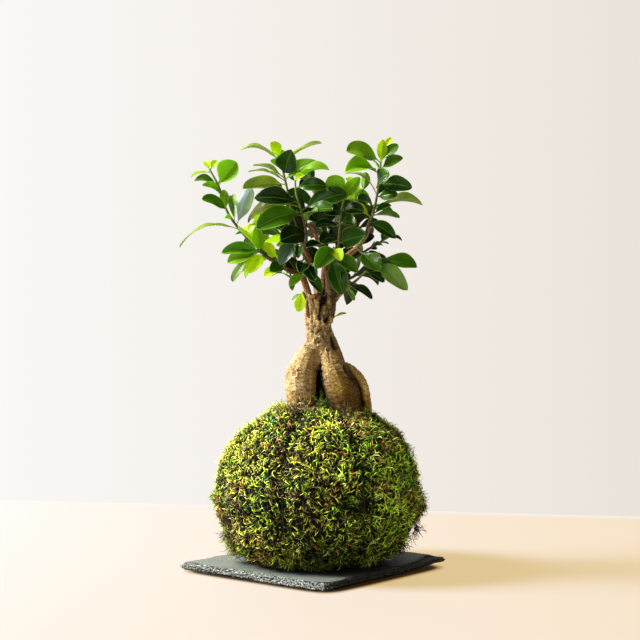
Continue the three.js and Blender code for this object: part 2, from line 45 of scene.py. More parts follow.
def pickOnly(*chosen):
    bpy.ops.object.select_all(action="DESELECT")
    for piece in chosen:
        piece.select_set(True)
    bpy.context.view_layer.objects.active = chosen[0]


def newPiece(name):
    piece = bpy.context.object
    piece.name = name
    piece.data.name = name
    return piece


def finishWith(piece, kind, **settings):
    pickOnly(piece)
    modifier = piece.modifiers.new(kind.title(), kind)
    for setting, value in settings.items():
        setattr(modifier, setting, value)
    bpy.ops.object.modifier_apply(modifier=modifier.name)


def pointsOf(piece):
    flat = np.empty(len(piece.data.vertices) * 3, np.float32)
    piece.data.vertices.foreach_get("co", flat)
    return flat.reshape(-1, 3).astype(float)


def normalsOf(piece):
    flat = np.empty(len(piece.data.vertices) * 3, np.float32)
    piece.data.vertex_normals.foreach_get("vector", flat)
    return flat.reshape(-1, 3).astype(float)


def movePoints(piece, places):
    piece.data.vertices.foreach_set("co", places.astype(np.float32).ravel())
    piece.data.update()


def paintPoints(piece, name, colours):
    layer = piece.data.attributes.new(name, "FLOAT_COLOR", "POINT")
    withAlpha = np.ones((len(colours), 4), np.float32)
    withAlpha[:, :3] = colours
    layer.data.foreach_set("color", withAlpha.ravel())


def turnOutwards(piece):
    pickOnly(piece)
    bpy.ops.object.mode_set(mode="EDIT")
    bpy.ops.mesh.select_all(action="SELECT")
    bpy.ops.mesh.remove_doubles(threshold=1e-6)
    bpy.ops.mesh.normals_make_consistent(inside=False)
    bpy.ops.object.mode_set(mode="OBJECT")


def tubeAlong(name, path, radii, closed=False, roundness=2):
    curve = bpy.data.curves.new(name, "CURVE")
    curve.dimensions = "3D"
    curve.bevel_depth = 1
    curve.bevel_resolution = roundness
    curve.use_fill_caps = True
    line = curve.splines.new("POLY")
    line.points.add(len(path) - 1)
    line.use_cyclic_u = closed
    for point, place, radius in zip(line.points, path, radii):
        point.co = (*place, 1)
        point.radius = radius
    tube = bpy.data.objects.new(name, curve)
    bpy.context.scene.collection.objects.link(tube)
    pickOnly(tube)
    bpy.ops.object.convert(target="MESH")
    tube = newPiece(name)
    turnOutwards(tube)
    return tube


def noiseAt(places, stretch, shift=0.0):
    offset = Vector((shift, 2.7 * shift, -1.9 * shift))
    scaled = places * np.array(stretch)
    return np.array([noise.noise(Vector(place) + offset) for place in scaled])


def colour(*parts):
    shares = [part / 255 for part in parts]
    darkest = 10 / 255
    return tuple(((share + 0.055) / 1.055) ** 2.4 if share > darkest else share / 12.92 for share in shares)


def fromTo(values, zero, full):
    return np.clip((values - zero) / (full - zero), 0, 1)


def within(values, low, high, soft):
    return fromTo(values, low, low + soft) * fromTo(values, high, high - soft)


def gain(share, change):
    return 1 + share[:, None] * np.array(change)


def draw(seed):
    value = math.sin(seed * 12.9898 + 78.233) * 43758.5453
    return value - math.floor(value)


# Node trees

def newMaterial(name):
    material = bpy.data.materials.new(name)
    material.use_nodes = True
    return material, material.node_tree.nodes["Principled BSDF"]


def node(material, kind, sockets=None, **settings):
    made = material.node_tree.nodes.new(kind)
    for setting, value in settings.items():
        setattr(made, setting, value)
    coat(material, made, sockets or {})
    return made


def coat(material, made, sockets):
    for socket, value in sockets.items():
        feed(material, made.inputs[socket], value)


def feed(material, socket, value):
    if isinstance(value, bpy.types.NodeSocket):
        material.node_tree.links.new(value, socket)
    elif isinstance(value, tuple) and len(value) == 3 and socket.type == "RGBA":
        socket.default_value = (*value, 1)
    else:
        socket.default_value = value


def objectPlace(material, stretch=(1, 1, 1)):
    where = node(material, "ShaderNodeTexCoord").outputs["Object"]
    return node(material, "ShaderNodeMapping", {"Vector": where, "Scale": stretch}).outputs["Vector"]


def grain(material, where, scale, detail=4.0, roughness=0.6):
    sockets = {"Vector": where, "Scale": scale, "Detail": detail, "Roughness": roughness}
    return node(material, "ShaderNodeTexNoise", sockets).outputs["Fac"]


def ramp(material, factor, stops):
    made = node(material, "ShaderNodeValToRGB", {"Fac": factor})
    elements = made.color_ramp.elements
    while len(elements) < len(stops):
        elements.new(0.5)
    for element, (place, shade) in zip(elements, stops):
        element.position = place
        element.color = (*shade, 1) if isinstance(shade, tuple) else (shade, shade, shade, 1)
    return made.outputs["Color"]


def blendColours(material, factor, first, second, way="MIX"):
    made = node(material, "ShaderNodeMix", data_type="RGBA", blend_type=way)
    feed(material, made.inputs[0], factor)
    feed(material, made.inputs[6], first)
    feed(material, made.inputs[7], second)
    return made.outputs[2]


def sums(material, way, first, second):
    made = node(material, "ShaderNodeMath", operation=way)
    feed(material, made.inputs[0], first)
    feed(material, made.inputs[1], second)
    return made.outputs["Value"]


def painted(material, name):
    return node(material, "ShaderNodeAttribute", attribute_name=name).outputs["Color"]


def bump(material, height, strength, distance, under=None):
    sockets = {"Height": height, "Strength": strength, "Distance": distance}
    if under is not None:
        sockets["Normal"] = under
    return node(material, "ShaderNodeBump", sockets).outputs["Normal"]


def partsOf(material, vector):
    return node(material, "ShaderNodeSeparateXYZ", {"Vector": vector}).outputs


def shareBetween(material, value, low, high, **settings):
    sockets = {"Value": value, "From Min": low, "From Max": high}
    return node(material, "ShaderNodeMapRange", sockets, **settings).outputs["Result"]


def letThrough(material, shader, tint, share):
    through = node(material, "ShaderNodeBsdfTranslucent", {"Color": tint})
    both = node(material, "ShaderNodeMixShader")
    both.inputs[0].default_value = share
    links = material.node_tree.links
    links.new(shader.outputs[0], both.inputs[1])
    links.new(through.outputs[0], both.inputs[2])
    links.new(both.outputs[0], material.node_tree.nodes["Material Output"].inputs["Surface"])


# Camera, floor, wall and light

plateTurn = -39.6
viewer = {"place": (0.0068, -1.1735, 0.205), "lens": 79.65, "sensor": 36}
room = {
    # Painted light: the floor glows, so that its shadows stay light and warm, paler on the left towards the
    # window and warmer on the right
    "floorPaint": (0.13, 0.152, 0.235),
    "floorGlowLeft": (0.685, 0.565, 0.35),
    "floorGlowRight": (0.685, 0.475, 0.155),
    "floorSpan": 0.5,
    "floorFar": 0.371,
    "floorFarSlope": -0.2,
    "floorSoft": 0.035,
    "floorNear": -1.6,
    "floorHalfWidth": 1.6,
    # Painted light: the wall glows as the backdrop and lights the plant from behind, brighter on the left
    # towards the window
    "wallPlace": 2.0,
    "wallHalf": (2.6, 1.6),
    "wallLeft": colour(252, 248, 246),
    "wallRight": colour(234, 227, 217),
    "wallSpan": 0.75,
    "airColour": (1.0, 0.98, 0.9),
    "airStrength": 0.09,
}
# Painted shadow: the table is darker where it meets the slate, out to this reach past half the plate's side,
# shifted to the front and right, away from the window
contactShadow = {
    "half": 0.0740,
    "reach": 0.009,
    "shift": (-0.0072, 0.0042, 0),
    "cornerPower": 9.0,
    "shades": [
        (0.0, (0.03, 0.02, 0.01)), (0.25, (0.12, 0.08, 0.04)),
        (0.5, (0.62, 0.5, 0.34)), (1.0, (1.0, 1.0, 1.0)),
    ],
}
lamps = [
    {"name": "window", "place": (-2.1, 0.1, 1.75), "size": 1.0, "power": 228, "shade": (1, 0.975, 0.93)},
    {"name": "fill", "place": (-0.9, -1.9, 0.9), "size": 0.9, "power": 10, "shade": (1, 0.98, 0.95)},
]
lampAim = (0, 0, 0.18)


def makeCamera():
    camera = bpy.data.objects.new("camera", bpy.data.cameras.new("camera"))
    bpy.context.scene.collection.objects.link(camera)
    camera.location = viewer["place"]
    camera.rotation_euler = (math.pi / 2, 0, 0)
    camera.data.lens = viewer["lens"]
    camera.data.sensor_width = viewer["sensor"]
    bpy.context.scene.camera = camera


def leftToRight(material, span, left, right):
    place = partsOf(material, objectPlace(material))["X"]
    return ramp(material, shareBetween(material, place, -span, span), [(0, left), (1, right)])


def wallShade(material):
    return leftToRight(material, room["wallSpan"], room["wallLeft"], room["wallRight"])


# Painted shadow of the plate on the table
def paintedContactShadow(material):
    where = node(material, "ShaderNodeTexCoord").outputs["Object"]
    sockets = {"Vector": where, "Rotation": (0, 0, math.radians(-plateTurn)), "Location": contactShadow["shift"]}
    sides = partsOf(material, node(material, "ShaderNodeMapping", sockets).outputs["Vector"])
    power = contactShadow["cornerPower"]
    powers = [sums(material, "POWER", sums(material, "ABSOLUTE", sides[axis], 0.0), power) for axis in "XY"]
    fromMiddle = sums(material, "POWER", sums(material, "ADD", *powers), 1 / power)
    share = shareBetween(material, fromMiddle, contactShadow["half"], contactShadow["half"] + contactShadow["reach"])
    return ramp(material, share, contactShadow["shades"])


def newSheet(name):
    bpy.ops.object.select_all(action="DESELECT")
    bpy.ops.mesh.primitive_grid_add(x_subdivisions=2, y_subdivisions=2, size=2)
    return newPiece(name)


def makeFloor():
    floor = newSheet("floor")
    corners = pointsOf(floor)
    corners[:, 0] *= room["floorHalfWidth"]
    rear = room["floorFar"] + room["floorFarSlope"] * corners[:, 0]
    corners[:, 1] = room["floorNear"] + (corners[:, 1] + 1) / 2 * (rear - room["floorNear"])
    movePoints(floor, corners)
    paint, shader = newMaterial("floorPaint")
    parts = partsOf(paint, objectPlace(paint))
    slope = sums(paint, "MULTIPLY", parts["X"], room["floorFarSlope"])
    away = sums(paint, "SUBTRACT", parts["Y"], slope)
    # Its far edge fades into the wall
    soft = room["floorFar"] - room["floorSoft"]
    fading = shareBetween(paint, away, soft, room["floorFar"], interpolation_type="SMOOTHSTEP")
    plain = blendColours(paint, fading, room["floorPaint"], (0.0, 0.0, 0.0))
    # The floor's glow is painted light, paler on the left and warmer on the right
    glow = leftToRight(paint, room["floorSpan"], room["floorGlowLeft"], room["floorGlowRight"])
    # The painted plate shadow darkens the floor's glow and its paint
    plateShadow = paintedContactShadow(paint)
    shaded = blendColours(paint, 1.0, glow, plateShadow, "MULTIPLY")
    coat(paint, shader, {
        "Base Color": blendColours(paint, 1.0, plain, plateShadow, "MULTIPLY"),
        "Emission Color": blendColours(paint, fading, shaded, wallShade(paint)),
        "Emission Strength": 1.0,
        "Roughness": 0.7,
        "Specular IOR Level": 0.2,
    })
    floor.data.materials.append(paint)


def makeWall():
    wall = newSheet("wall")
    corners = pointsOf(wall)
    across, up = room["wallHalf"]
    corners = np.stack([corners[:, 0] * across, 0 * corners[:, 0] + room["wallPlace"], corners[:, 1] * up], 1)
    movePoints(wall, corners)
    paint, shader = newMaterial("wallPaint")
    # The wall's glow is painted light, brighter on the left towards the window
    coat(paint, shader, {
        "Base Color": (0.0, 0.0, 0.0),
        "Emission Color": wallShade(paint),
        "Emission Strength": 1.0,
        "Specular IOR Level": 0.0,
    })
    wall.data.materials.append(paint)


def makeAir():
    # The camera sees the wall's shade where the room ends, and the plant gets a weak light from all round
    world = bpy.data.worlds.new("air")
    world.use_nodes = True
    bpy.context.scene.world = world
    nodes, links = world.node_tree.nodes, world.node_tree.links
    nodes["Background"].inputs["Color"].default_value = (*room["airColour"], 1)
    nodes["Background"].inputs["Strength"].default_value = room["airStrength"]
    beyond = nodes.new("ShaderNodeBackground")
    beyond.inputs["Color"].default_value = (*room["wallLeft"], 1)
    seen = nodes.new("ShaderNodeLightPath")
    both = nodes.new("ShaderNodeMixShader")
    links.new(seen.outputs["Is Camera Ray"], both.inputs[0])
    links.new(nodes["Background"].outputs[0], both.inputs[1])
    links.new(beyond.outputs[0], both.inputs[2])
    links.new(both.outputs[0], nodes["World Output"].inputs["Surface"])


def makeLamps():
    for lamp in lamps:
        light = bpy.data.lights.new(lamp["name"], "AREA")
        light.size = lamp["size"]
        light.energy = lamp["power"]
        light.color = lamp["shade"]
        hung = bpy.data.objects.new(lamp["name"], light)
        hung.location = lamp["place"]
        hung.rotation_euler = (Vector(lamp["place"]) - Vector(lampAim)).to_track_quat("Z", "Y").to_euler()
        bpy.context.scene.collection.objects.link(hung)


bpy.context.scene.view_settings.view_transform = "Standard"
makeCamera()
makeFloor()
makeWall()
makeAir()
makeLamps()
print("camera, room and lamps made")


# Slate

slate = {
    "side": 150,
    "cells": 96,
    "sheets": 12,
    "pointsPerSide": 6,
    "roughness": 1.5,
    "chip": 8,
    "chipAt": 6,
    "chipReach": 1.5,
    "layers": [[0, 1.2, 0], [1.8, 0, 0], [4.1, 0.9, 0.1], [4.4, 1.3, 0.85], [6.5, 2.3, 1]],
    # The split edge leaves the middle of the plate as it is, and gives way faster towards the rim
    "calmShare": 0.3,
    "giveWay": 9,
    # Flakes: how often they change along the edge and up it, shift and strength
    "flake": 0.9,
    "flakes": [(1.9, 0.9, 0.5, 1), (6.5, 1.9, 4.5, 0.9), (15, 2.4, 9.5, 1.2)],
    "flakeAtFaces": 0.5,
    "flakeBetween": 1.2,
    "mostOutward": 2.0,
    "cornerWear": [(0, 4.0), (24, 4.0), (18, -1.8)],
    "cornerReach": 0.3,
    "wearAtFoot": 0.35,
    "edgeDip": 1.1,
    # Dips in the rim: how often along the edge, shift, how often inwards, and how much more of them
    "dips": (5.5, 3.3, 0.3, 0.25),
    "rim": 3.2,
    "topWave": 0.12,
    # Waves of the top: strength, how often they change, shift
    "waves": [(1, 0.05, 3), (0.4, 0.2, 5)],
    "smoothTurn": 28,
    # The right rear of the split plate curls up: height, start, span, way
    "curl": (3.1, 58, 36, 25),
    # How much further out than the CAD outline the visible edge runs, by ring number
    "outward": [
        4.2, 2.6, 1.8, 1.5, 1.8, 3.6, 7.0, 2.2, 0.5, 0, 0, 0,
        0, 0, 0, 0.3, 0.8, 1.6, 2.8, 1.6, 1.4, 1.5, 1.8, 2.6, 4.2,
    ],
}
# Painted shade: the side away from the window, the undercut and the place under the ball are darker; faceEdge
# is how much of the split edge's look the top face takes
slatePaintedShade = {
    "faceEdge": 0.15,
    "farEdge": 0.22,
    "undercut": 0.25,
    "underBall": 0.12,
    "ballMiddle": (17, -8),
    "ballStretch": 1.05,
    "ballFrom": 55,
    "ballTo": 79,
}


def slateRing(layer, number):
    _, inset, chipShare = slate["layers"][layer]
    number %= 4 * slate["pointsPerSide"]
    share = (number % slate["pointsPerSide"]) / slate["pointsPerSide"]
    nearChip = max(0, 1 - abs(number - slate["chipAt"]) / slate["chipReach"])
    ragged = slate["roughness"] * draw(97 * layer + number) + (slate["roughness"] if share == 0 else 0)
    return slate["side"] / 2 - inset - ragged - slate["chip"] * chipShare * nearChip


def slateHalf(height, number):
    heights = [layer[0] for layer in slate["layers"]]
    upper = min(max(1, int(np.searchsorted(heights, height))), len(heights) - 1)
    rise = (height - heights[upper - 1]) / (heights[upper] - heights[upper - 1])
    first = math.floor(number)
    across = number - first
    below, above = [
        slateRing(layer, first) * (1 - across) + slateRing(layer, first + 1) * across
        for layer in (upper - 1, upper)
    ]
    outward = np.interp(number, range(len(slate["outward"])), slate["outward"])
    return below + (above - below) * min(max(rise, 0), 1) + outward


def outlineNumber(x, y):
    if abs(x) >= abs(y):
        edge = 0 if x > 0 else 2
        share = (y / x + 1) / 2
    else:
        edge = 1 if y > 0 else 3
        share = (-x / y + 1) / 2
    return slate["pointsPerSide"] * (edge + share)


def slateBlock(thickness):
    bpy.ops.object.select_all(action="DESELECT")
    bpy.ops.mesh.primitive_grid_add(
        x_subdivisions=slate["cells"],
        y_subdivisions=slate["cells"],
        size=slate["side"],
        location=(0, 0, thickness),
    )
    stone = newPiece("slateStone")
    bpy.ops.object.mode_set(mode="EDIT")
    for _ in range(slate["sheets"]):
        step = (0, 0, -thickness / slate["sheets"])
        bpy.ops.mesh.extrude_region_move(TRANSFORM_OT_translate={"value": step})
    bpy.ops.object.mode_set(mode="OBJECT")
    bpy.ops.object.transform_apply(location=True)
    turnOutwards(stone)
    return stone


def splitPoint(place, reach, onTop, thickness):
    x, y, z = place
    half, number = slate["side"] / 2, outlineNumber(x, y)
    flaky = 0
    for along, up, shift, strength in slate["flakes"]:
        flaky += strength * noise.noise(Vector((number * along, z * up, shift)))
    atFace = onTop or z < 0.1
    inset = slate["flake"] * flaky * (slate["flakeAtFaces"] if atFace else slate["flakeBetween"])
    for corner, wear in slate["cornerWear"]:
        toCorner = abs(number % (4 * slate["pointsPerSide"]) - corner) / slate["cornerReach"]
        upward = slate["wearAtFoot"] + (1 - slate["wearAtFoot"]) * z / thickness
        inset += wear * math.exp(-(toCorner**2)) * upward
    factor = (slateHalf(z, number) - max(inset, -slate["mostOutward"])) / half
    squeeze = 1 - (1 - factor) * (reach / half) ** slate["giveWay"]
    if onTop:
        rim = max(0, 1 - (half - reach) / slate["rim"])
        along, shift, inwards, more = slate["dips"]
        dip = max(0, noise.noise(Vector((number * along, shift, reach * inwards))) + more)
        z -= slate["edgeDip"] * rim * dip
    return x * squeeze, y * squeeze, z


def makeSlate():
    half, thickness = slate["side"] / 2, slate["layers"][-1][0]
    stone = slateBlock(thickness)
    places = pointsOf(stone)
    reach = np.abs(places[:, :2]).max(1)
    onTop = places[:, 2] > 0.99 * thickness
    onEdge = ~onTop & (reach > 0.97 * half)
    shaped = places.copy()
    for i in np.flatnonzero(reach >= slate["calmShare"] * half):
        shaped[i] = splitPoint(places[i], reach[i], onTop[i], thickness)
    flat = places * [1, 1, 0]
    wave = sum(high * noiseAt(flat, (often, often, 1), shift) for high, often, shift in slate["waves"])
    shaped[onTop, 2] += slate["topWave"] * wave[onTop]
    angle = math.radians(plateTurn)
    turned = shaped.copy()
    turned[:, 0] = shaped[:, 0] * math.cos(angle) - shaped[:, 1] * math.sin(angle)
    turned[:, 1] = shaped[:, 0] * math.sin(angle) + shaped[:, 1] * math.cos(angle)
    height, start, span, way = slate["curl"]
    toRear = turned[:, 0] * math.cos(math.radians(way)) + turned[:, 1] * math.sin(math.radians(way))
    turned[:, 2] += height * fromTo(toRear, start, start + span)
    movePoints(stone, turned * mm)
    bpy.ops.object.shade_smooth_by_angle(angle=math.radians(slate["smoothTurn"]))
    isEdge = slatePaintedShade["faceEdge"] + (1 - slatePaintedShade["faceEdge"]) * onEdge
    paintPoints(stone, "slateEdge", np.repeat(isEdge[:, None], 3, 1))
    # Painted shade: darker on the edge away from the window, on the top under the ball and on the undercut
    number = np.array([outlineNumber(x, y) if x or y else 0 for x, y in places[:, :2]])
    side = number / slate["pointsPerSide"] % 4
    farSide = fromTo(side, 0, 0.1) * (side < 1) * onEdge
    shade = 1 + (slatePaintedShade["farEdge"] - 1) * farSide
    besideX, besideY = turned[:, 0] - slatePaintedShade["ballMiddle"][0], turned[:, 1] - slatePaintedShade["ballMiddle"][1]
    fromBall = np.hypot(besideX / slatePaintedShade["ballStretch"], besideY)
    beyond = fromTo(fromBall, slatePaintedShade["ballFrom"], slatePaintedShade["ballTo"])
    shade[onTop] *= (slatePaintedShade["underBall"] + (1 - slatePaintedShade["underBall"]) * beyond)[onTop]
    shade[onEdge & (places[:, 2] < 0.1 * thickness)] *= slatePaintedShade["undercut"]
    paintPoints(stone, "slatePaintedShade", np.repeat(shade[:, None], 3, 1))
    stone.data.materials.append(slateMaterial())
    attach(stone, "root")
    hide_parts("slate_plate")


def slateMaterial():
    material, shader = newMaterial("splitSlate")
    where = objectPlace(material)
    broad = grain(material, where, 28, 5)
    fine = grain(material, where, 380, 6, 0.7)
    flakes = grain(material, objectPlace(material, (1, 1, 1.4)), 640, 6, 0.8)
    edge = painted(material, "slateEdge")
    face = ramp(material, broad, [(0.3, colour(84, 92, 84)), (0.7, colour(110, 118, 108))])
    dust = sums(material, "MULTIPLY", ramp(material, fine, [(0.52, 0.0), (0.75, 1.0)]), 0.3)
    dusty = blendColours(material, dust, face, colour(158, 166, 162))
    split = ramp(material, flakes, [
        (0.39, colour(10, 13, 10)), (0.45, colour(76, 83, 76)),
        (0.52, colour(148, 155, 147)), (0.61, colour(240, 245, 239)),
    ])
    both = blendColours(material, edge, dusty, split)
    edgeShare = node(material, "ShaderNodeSeparateColor", {"Color": edge}).outputs["Red"]
    splitBump = bump(material, sums(material, "MULTIPLY", edgeShare, flakes), 0.9, 0.003)
    coat(material, shader, {
        "Base Color": blendColours(material, 1.0, both, painted(material, "slatePaintedShade"), "MULTIPLY"),
        "Roughness": ramp(material, fine, [(0.3, 0.5), (0.7, 0.7)]),
        "Specular IOR Level": 0.42,
        "Normal": bump(material, fine, 0.2, 0.0004, splitBump),
    })
    return material


makeSlate()
print("slate made")


# Moss ball

ball = {
    "x": 6,
    "columns": 40,
    "rows": 16,
    "turn": 25,
    "tuft": 1.8,
    "rowWave": 1.7,
    "columnWave": 2.9,
    "calmTop": 0.17,
    "calmFoot": 0.2,
    "groove": 3,
    "furrowEvery": 5,
    "profile": [
        [0, 139], [38, 134.5], [56, 122], [72, 105.6], [82, 89], [87, 72.5],
        [88, 56], [84, 39], [76, 22], [62, 9.5], [50, 6.8],
    ],
}


def profileAt(share):
    points = np.array(ball["profile"], float)
    last = len(points) - 1
    place = np.clip(share, 0, 1) * last
    first = np.minimum(np.floor(place).astype(int), last - 1)
    t = (place - first)[:, None]
    before, here = points[np.maximum(first - 1, 0)], points[first]
    ahead, after = points[first + 1], points[np.minimum(first + 2, last)]
    leave, arrive = (ahead - before) / 2, (after - here) / 2
    return (
        (2 * here - 2 * ahead + leave + arrive) * t**3
        + (3 * ahead - 3 * here - 2 * leave - arrive) * t**2
        + leave * t
        + here
    )


def tuftGrid():
    rows, columns = ball["rows"], ball["columns"]
    relief = np.zeros((rows + 1, columns))
    for row in range(rows + 1):
        for column in range(columns):
            wave = 0.6 * math.sin(ball["rowWave"] * row + ball["columnWave"] * column)
            tuft = wave + 1.8 * (draw(row * columns + column) - 0.5)
            relief[row, column] = ball["tuft"] * tuft
            if column % ball["furrowEvery"] == 0:
                relief[row, column] = -ball["groove"]
    return relief


tuftRelief = tuftGrid()


def mossSurface(share, turn, lift):
    share = np.asarray(share, float)
    middle = profileAt(share)
    step = 1e-3
    way = profileAt(np.minimum(share + step, 1)) - profileAt(np.maximum(share - step, 0))
    way /= np.linalg.norm(way, axis=1)[:, None]
    out = np.stack([-way[:, 1], way[:, 0]], 1)
    row = np.clip(share, 0, 0.9999) * ball["rows"]
    column = ((turn - ball["turn"]) * ball["columns"] / 360) % ball["columns"]
    r, c = np.floor(row).astype(int), np.floor(column).astype(int) % ball["columns"]
    u, v = row - np.floor(row), column - np.floor(column)
    side = (c + 1) % ball["columns"]
    relief = (
        tuftRelief[r, c] * (1 - u) * (1 - v)
        + tuftRelief[r + 1, c] * u * (1 - v)
        + tuftRelief[r, side] * (1 - u) * v
        + tuftRelief[r + 1, side] * u * v
    )
    calm = np.minimum(1, np.minimum(share / ball["calmTop"], (1 - share) / ball["calmFoot"]))
    height = relief * np.maximum(calm, 0) + lift
    radius = middle[:, 0] + out[:, 0] * height
    angle = np.radians(turn)
    place = np.stack(
        [ball["x"] + radius * np.cos(angle), radius * np.sin(angle), middle[:, 1] + out[:, 1] * height], 1
    )
    normal = np.stack([out[:, 0] * np.cos(angle), out[:, 0] * np.sin(angle), out[:, 1]], 1)
    return place, normal, relief


mossCore = {"segments": 112, "rings": 56, "inset": -5.4, "lump": 1.0, "footShare": 0.9}


def makeMossCore():
    bpy.ops.object.select_all(action="DESELECT")
    bpy.ops.mesh.primitive_uv_sphere_add(
        segments=mossCore["segments"],
        ring_count=mossCore["rings"],
        radius=1,
    )
    core = newPiece("mossCore")
    places = pointsOf(core)
    down = np.arccos(np.clip(places[:, 2], -1, 1)) / math.pi
    share = np.minimum(down / mossCore["footShare"], 1)
    turn = np.degrees(np.arctan2(places[:, 1], places[:, 0]))
    lump = mossCore["lump"] * noiseAt(places, (9, 9, 9), 2)
    shaped, _, _ = mossSurface(share, turn, mossCore["inset"] + lump)
    # Below its foot the core closes to a point, level with the foot
    closing = fromTo(down, 1, mossCore["footShare"])[:, None]
    middle = np.array([ball["x"], 0])
    shaped[:, :2] = middle + (shaped[:, :2] - middle) * closing
    movePoints(core, shaped * mm)
    bpy.ops.object.shade_smooth()
    # The core is near black: the dark base of the moss and painted shade deep between the strands
    material, shader = newMaterial("mossDepthShade")
    where = objectPlace(material)
    dark = [(0.35, colour(4, 5, 2)), (0.55, colour(14, 14, 5)), (0.75, colour(34, 28, 12))]
    coat(material, shader, {
        "Base Color": ramp(material, grain(material, where, 260, 5, 0.7), dark),
        "Roughness": 0.95,
        "Normal": bump(material, grain(material, where, 500), 0.8, 0.002),
    })
    core.data.materials.append(material)
    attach(core, "root")
    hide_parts("moss_skin")


makeMossCore()
print("moss core made")

roots = {
    "leftRoot": {
        "path": [[-9, -11, 94], [-8, -10, 114], [-8.2, -9, 134], [-9, -8.5, 150], [-8.6, -7.5, 160],
                 [-4.4, -5, 172], [0.8, -3, 184], [4, -1, 196]],
        "radii": [3, 8, 11.8, 13.2, 12.8, 11, 9, 7.5],
    },
    "frontRoot": {
        "path": [[32, -15, 92], [30, -14, 112], [27.5, -13, 132], [25, -13, 146], [20.5, -10, 158],
                 [16.5, -7, 168], [13, -3, 180], [9, 0, 192]],
        "radii": [3, 8.5, 13, 14, 13, 11.2, 10.5, 9.5],
    },
    "rearRoot": {
        "path": [[43, 17, 96], [41.5, 16, 120], [40, 15, 140], [36.5, 13.5, 152], [30, 10, 162],
                 [20, 5, 172]],
        "radii": [3.5, 8, 9.6, 10, 9.8, 9.5],
    },
    "backRoot": {
        "path": [[-4, 25, 94], [-3, 23, 116], [-2, 21, 140], [0, 17, 158], [4, 9, 176], [6, 3, 190]],
        "radii": [3, 8, 11, 11, 10.5, 8],
    },
    "crown": {
        "path": [[8, 0, 166], [7, 0, 180], [6.2, 0, 190], [5.7, 0, 198], [6, 0, 206]],
        "radii": [12, 12.8, 11.4, 10.8, 10.5],
    },
    "stump": {
        "path": [[4.5, 0, 196], [3.4, 0, 207], [2.6, 0, 217], [3.2, -0.5, 226.5]],
        "radii": [9.5, 9.8, 8.9, 7.5],
    },
}
limbs = {
    "leftBranch": {
        "path": [[-1.5, -1, 221.5], [-8, -6, 240.5], [-19.5, -10, 246], [-30, -13, 252.5], [-39, -16, 258]],
        "radii": [3.2, 2.6, 2.1, 1.8, 1.5],
    },
    "frontBranch": {
        "path": [[9, -1, 198], [14, -2, 210], [15.2, -2, 220], [15, -3, 234.5], [11.5, -8, 252.5],
                 [6, -13, 268], [-2, -16, 285]],
        "radii": [6, 5.2, 5, 3.9, 2.6, 2, 1.9],
    },
    "rightBranch": {
        "path": [[16, 0, 228], [21, 0, 246.5], [29, 2, 258], [37.5, 3, 265], [45, 3, 275], [47.5, 4, 283]],
        "radii": [3.6, 2.9, 2.5, 2.2, 1.9, 1.6],
    },
    "middleBranch": {
        "path": [[6, 4, 223.5], [1, 6, 245], [-5, 6, 263.5], [-10, 5, 276.5]],
        "radii": [3.4, 2.8, 2.3, 1.8],
    },
    "lowRightBranch": {
        "path": [[17.5, -1, 220], [24, -4, 227.5], [29, -6, 231], [33, -8, 234.5]],
        "radii": [2.6, 2, 1.7, 1.3],
    },
    "backBranch": {"path": [[8, 5, 213], [10, 17, 243], [11, 25, 258]], "radii": [3.2, 2.5, 1.9]},
    "backLeftBranch": {"path": [[1, 5, 213], [-7, 17, 241], [-15, 28, 254]], "radii": [3, 2.3, 1.8]},
    "backRightBranch": {"path": [[13, 3, 212], [24, 16, 243], [33, 27, 256]], "radii": [3.2, 2.4, 1.8]},
}


def limbRadius(limb, share):
    places = np.linspace(0, 1, len(limb["radii"]))
    return float(np.interp(share, places, limb["radii"]))


def curvePoint(path, share):
    points = np.asarray(path, float)
    last = len(points) - 1
    place = last * share
    first = min(int(math.floor(place)), last - 1)
    t = place - first
    before = points[first - 1] if first > 0 else 2 * points[0] - points[1]
    after = points[first + 2] if first + 2 <= last else 2 * points[last] - points[last - 1]
    here, ahead = points[first], points[first + 1]
    leave, arrive = (ahead - before) / 2, (after - here) / 2
    return (
        here
        + leave * t
        + (3 * (ahead - here) - 2 * leave - arrive) * t**2
        + (2 * (here - ahead) + leave + arrive) * t**3
    )


def curveWay(path, share):
    nudge = 1e-4
    way = curvePoint(path, min(share + nudge, 1)) - curvePoint(path, max(share - nudge, 0))
    return way / np.linalg.norm(way)


def finePath(path, count):
    return [curvePoint(path, share) for share in np.linspace(0, 1, count)]


# Moss strands

strands = {
    "pieces": "ABCD",
    "perPiece": 10100,
    "tufts": 2400,
    "base": -5.3,
    "lowest": 6.9,
    "length": (5.8, 10.8),
    "thickness": (0.22, 0.42),
    "flatness": 0.7,
    "taper": [0.8, 1.0, 0.9, 0.0],
    "opened": (0.25, 1.0, 1.45),
    "parts": (0.38, 0.36, 0.26),
    "bend": (0.6, 1.4),
    "twist": 0.85,
    "roll": 0.3,
    # Lean out of the tuft's middle, with the tuft and on its own
    "lean": (0.25, 0.8, 0.75),
    "gather": 0.4,
    # Some strands lie under the others, and a few stand loose
    "underShare": 0.48,
    "underDepth": 1.5,
    "looseShare": 0.02,
    "looseLength": (8, 11),
    "looseBend": 0.1,
    "looseThin": 0.7,
    # Lightness of a strand from root to tip, with painted shade near the root, deep in the moss
    "rise": [0.01, 0.22, 1.15, 1.7],
    "palest": 1.8,
    "shades": {
        "lime": colour(222, 228, 100),
        "fresh": colour(184, 200, 62),
        "green": colour(130, 160, 30),
        "deep": colour(68, 92, 14),
        "olive": colour(150, 144, 52),
        "rust": colour(149, 103, 56),
        "brown": colour(120, 94, 56),
        "teal": colour(80, 136, 62),
        "straw": colour(228, 216, 156),
        "depthShade": colour(60, 50, 40),
    },
}
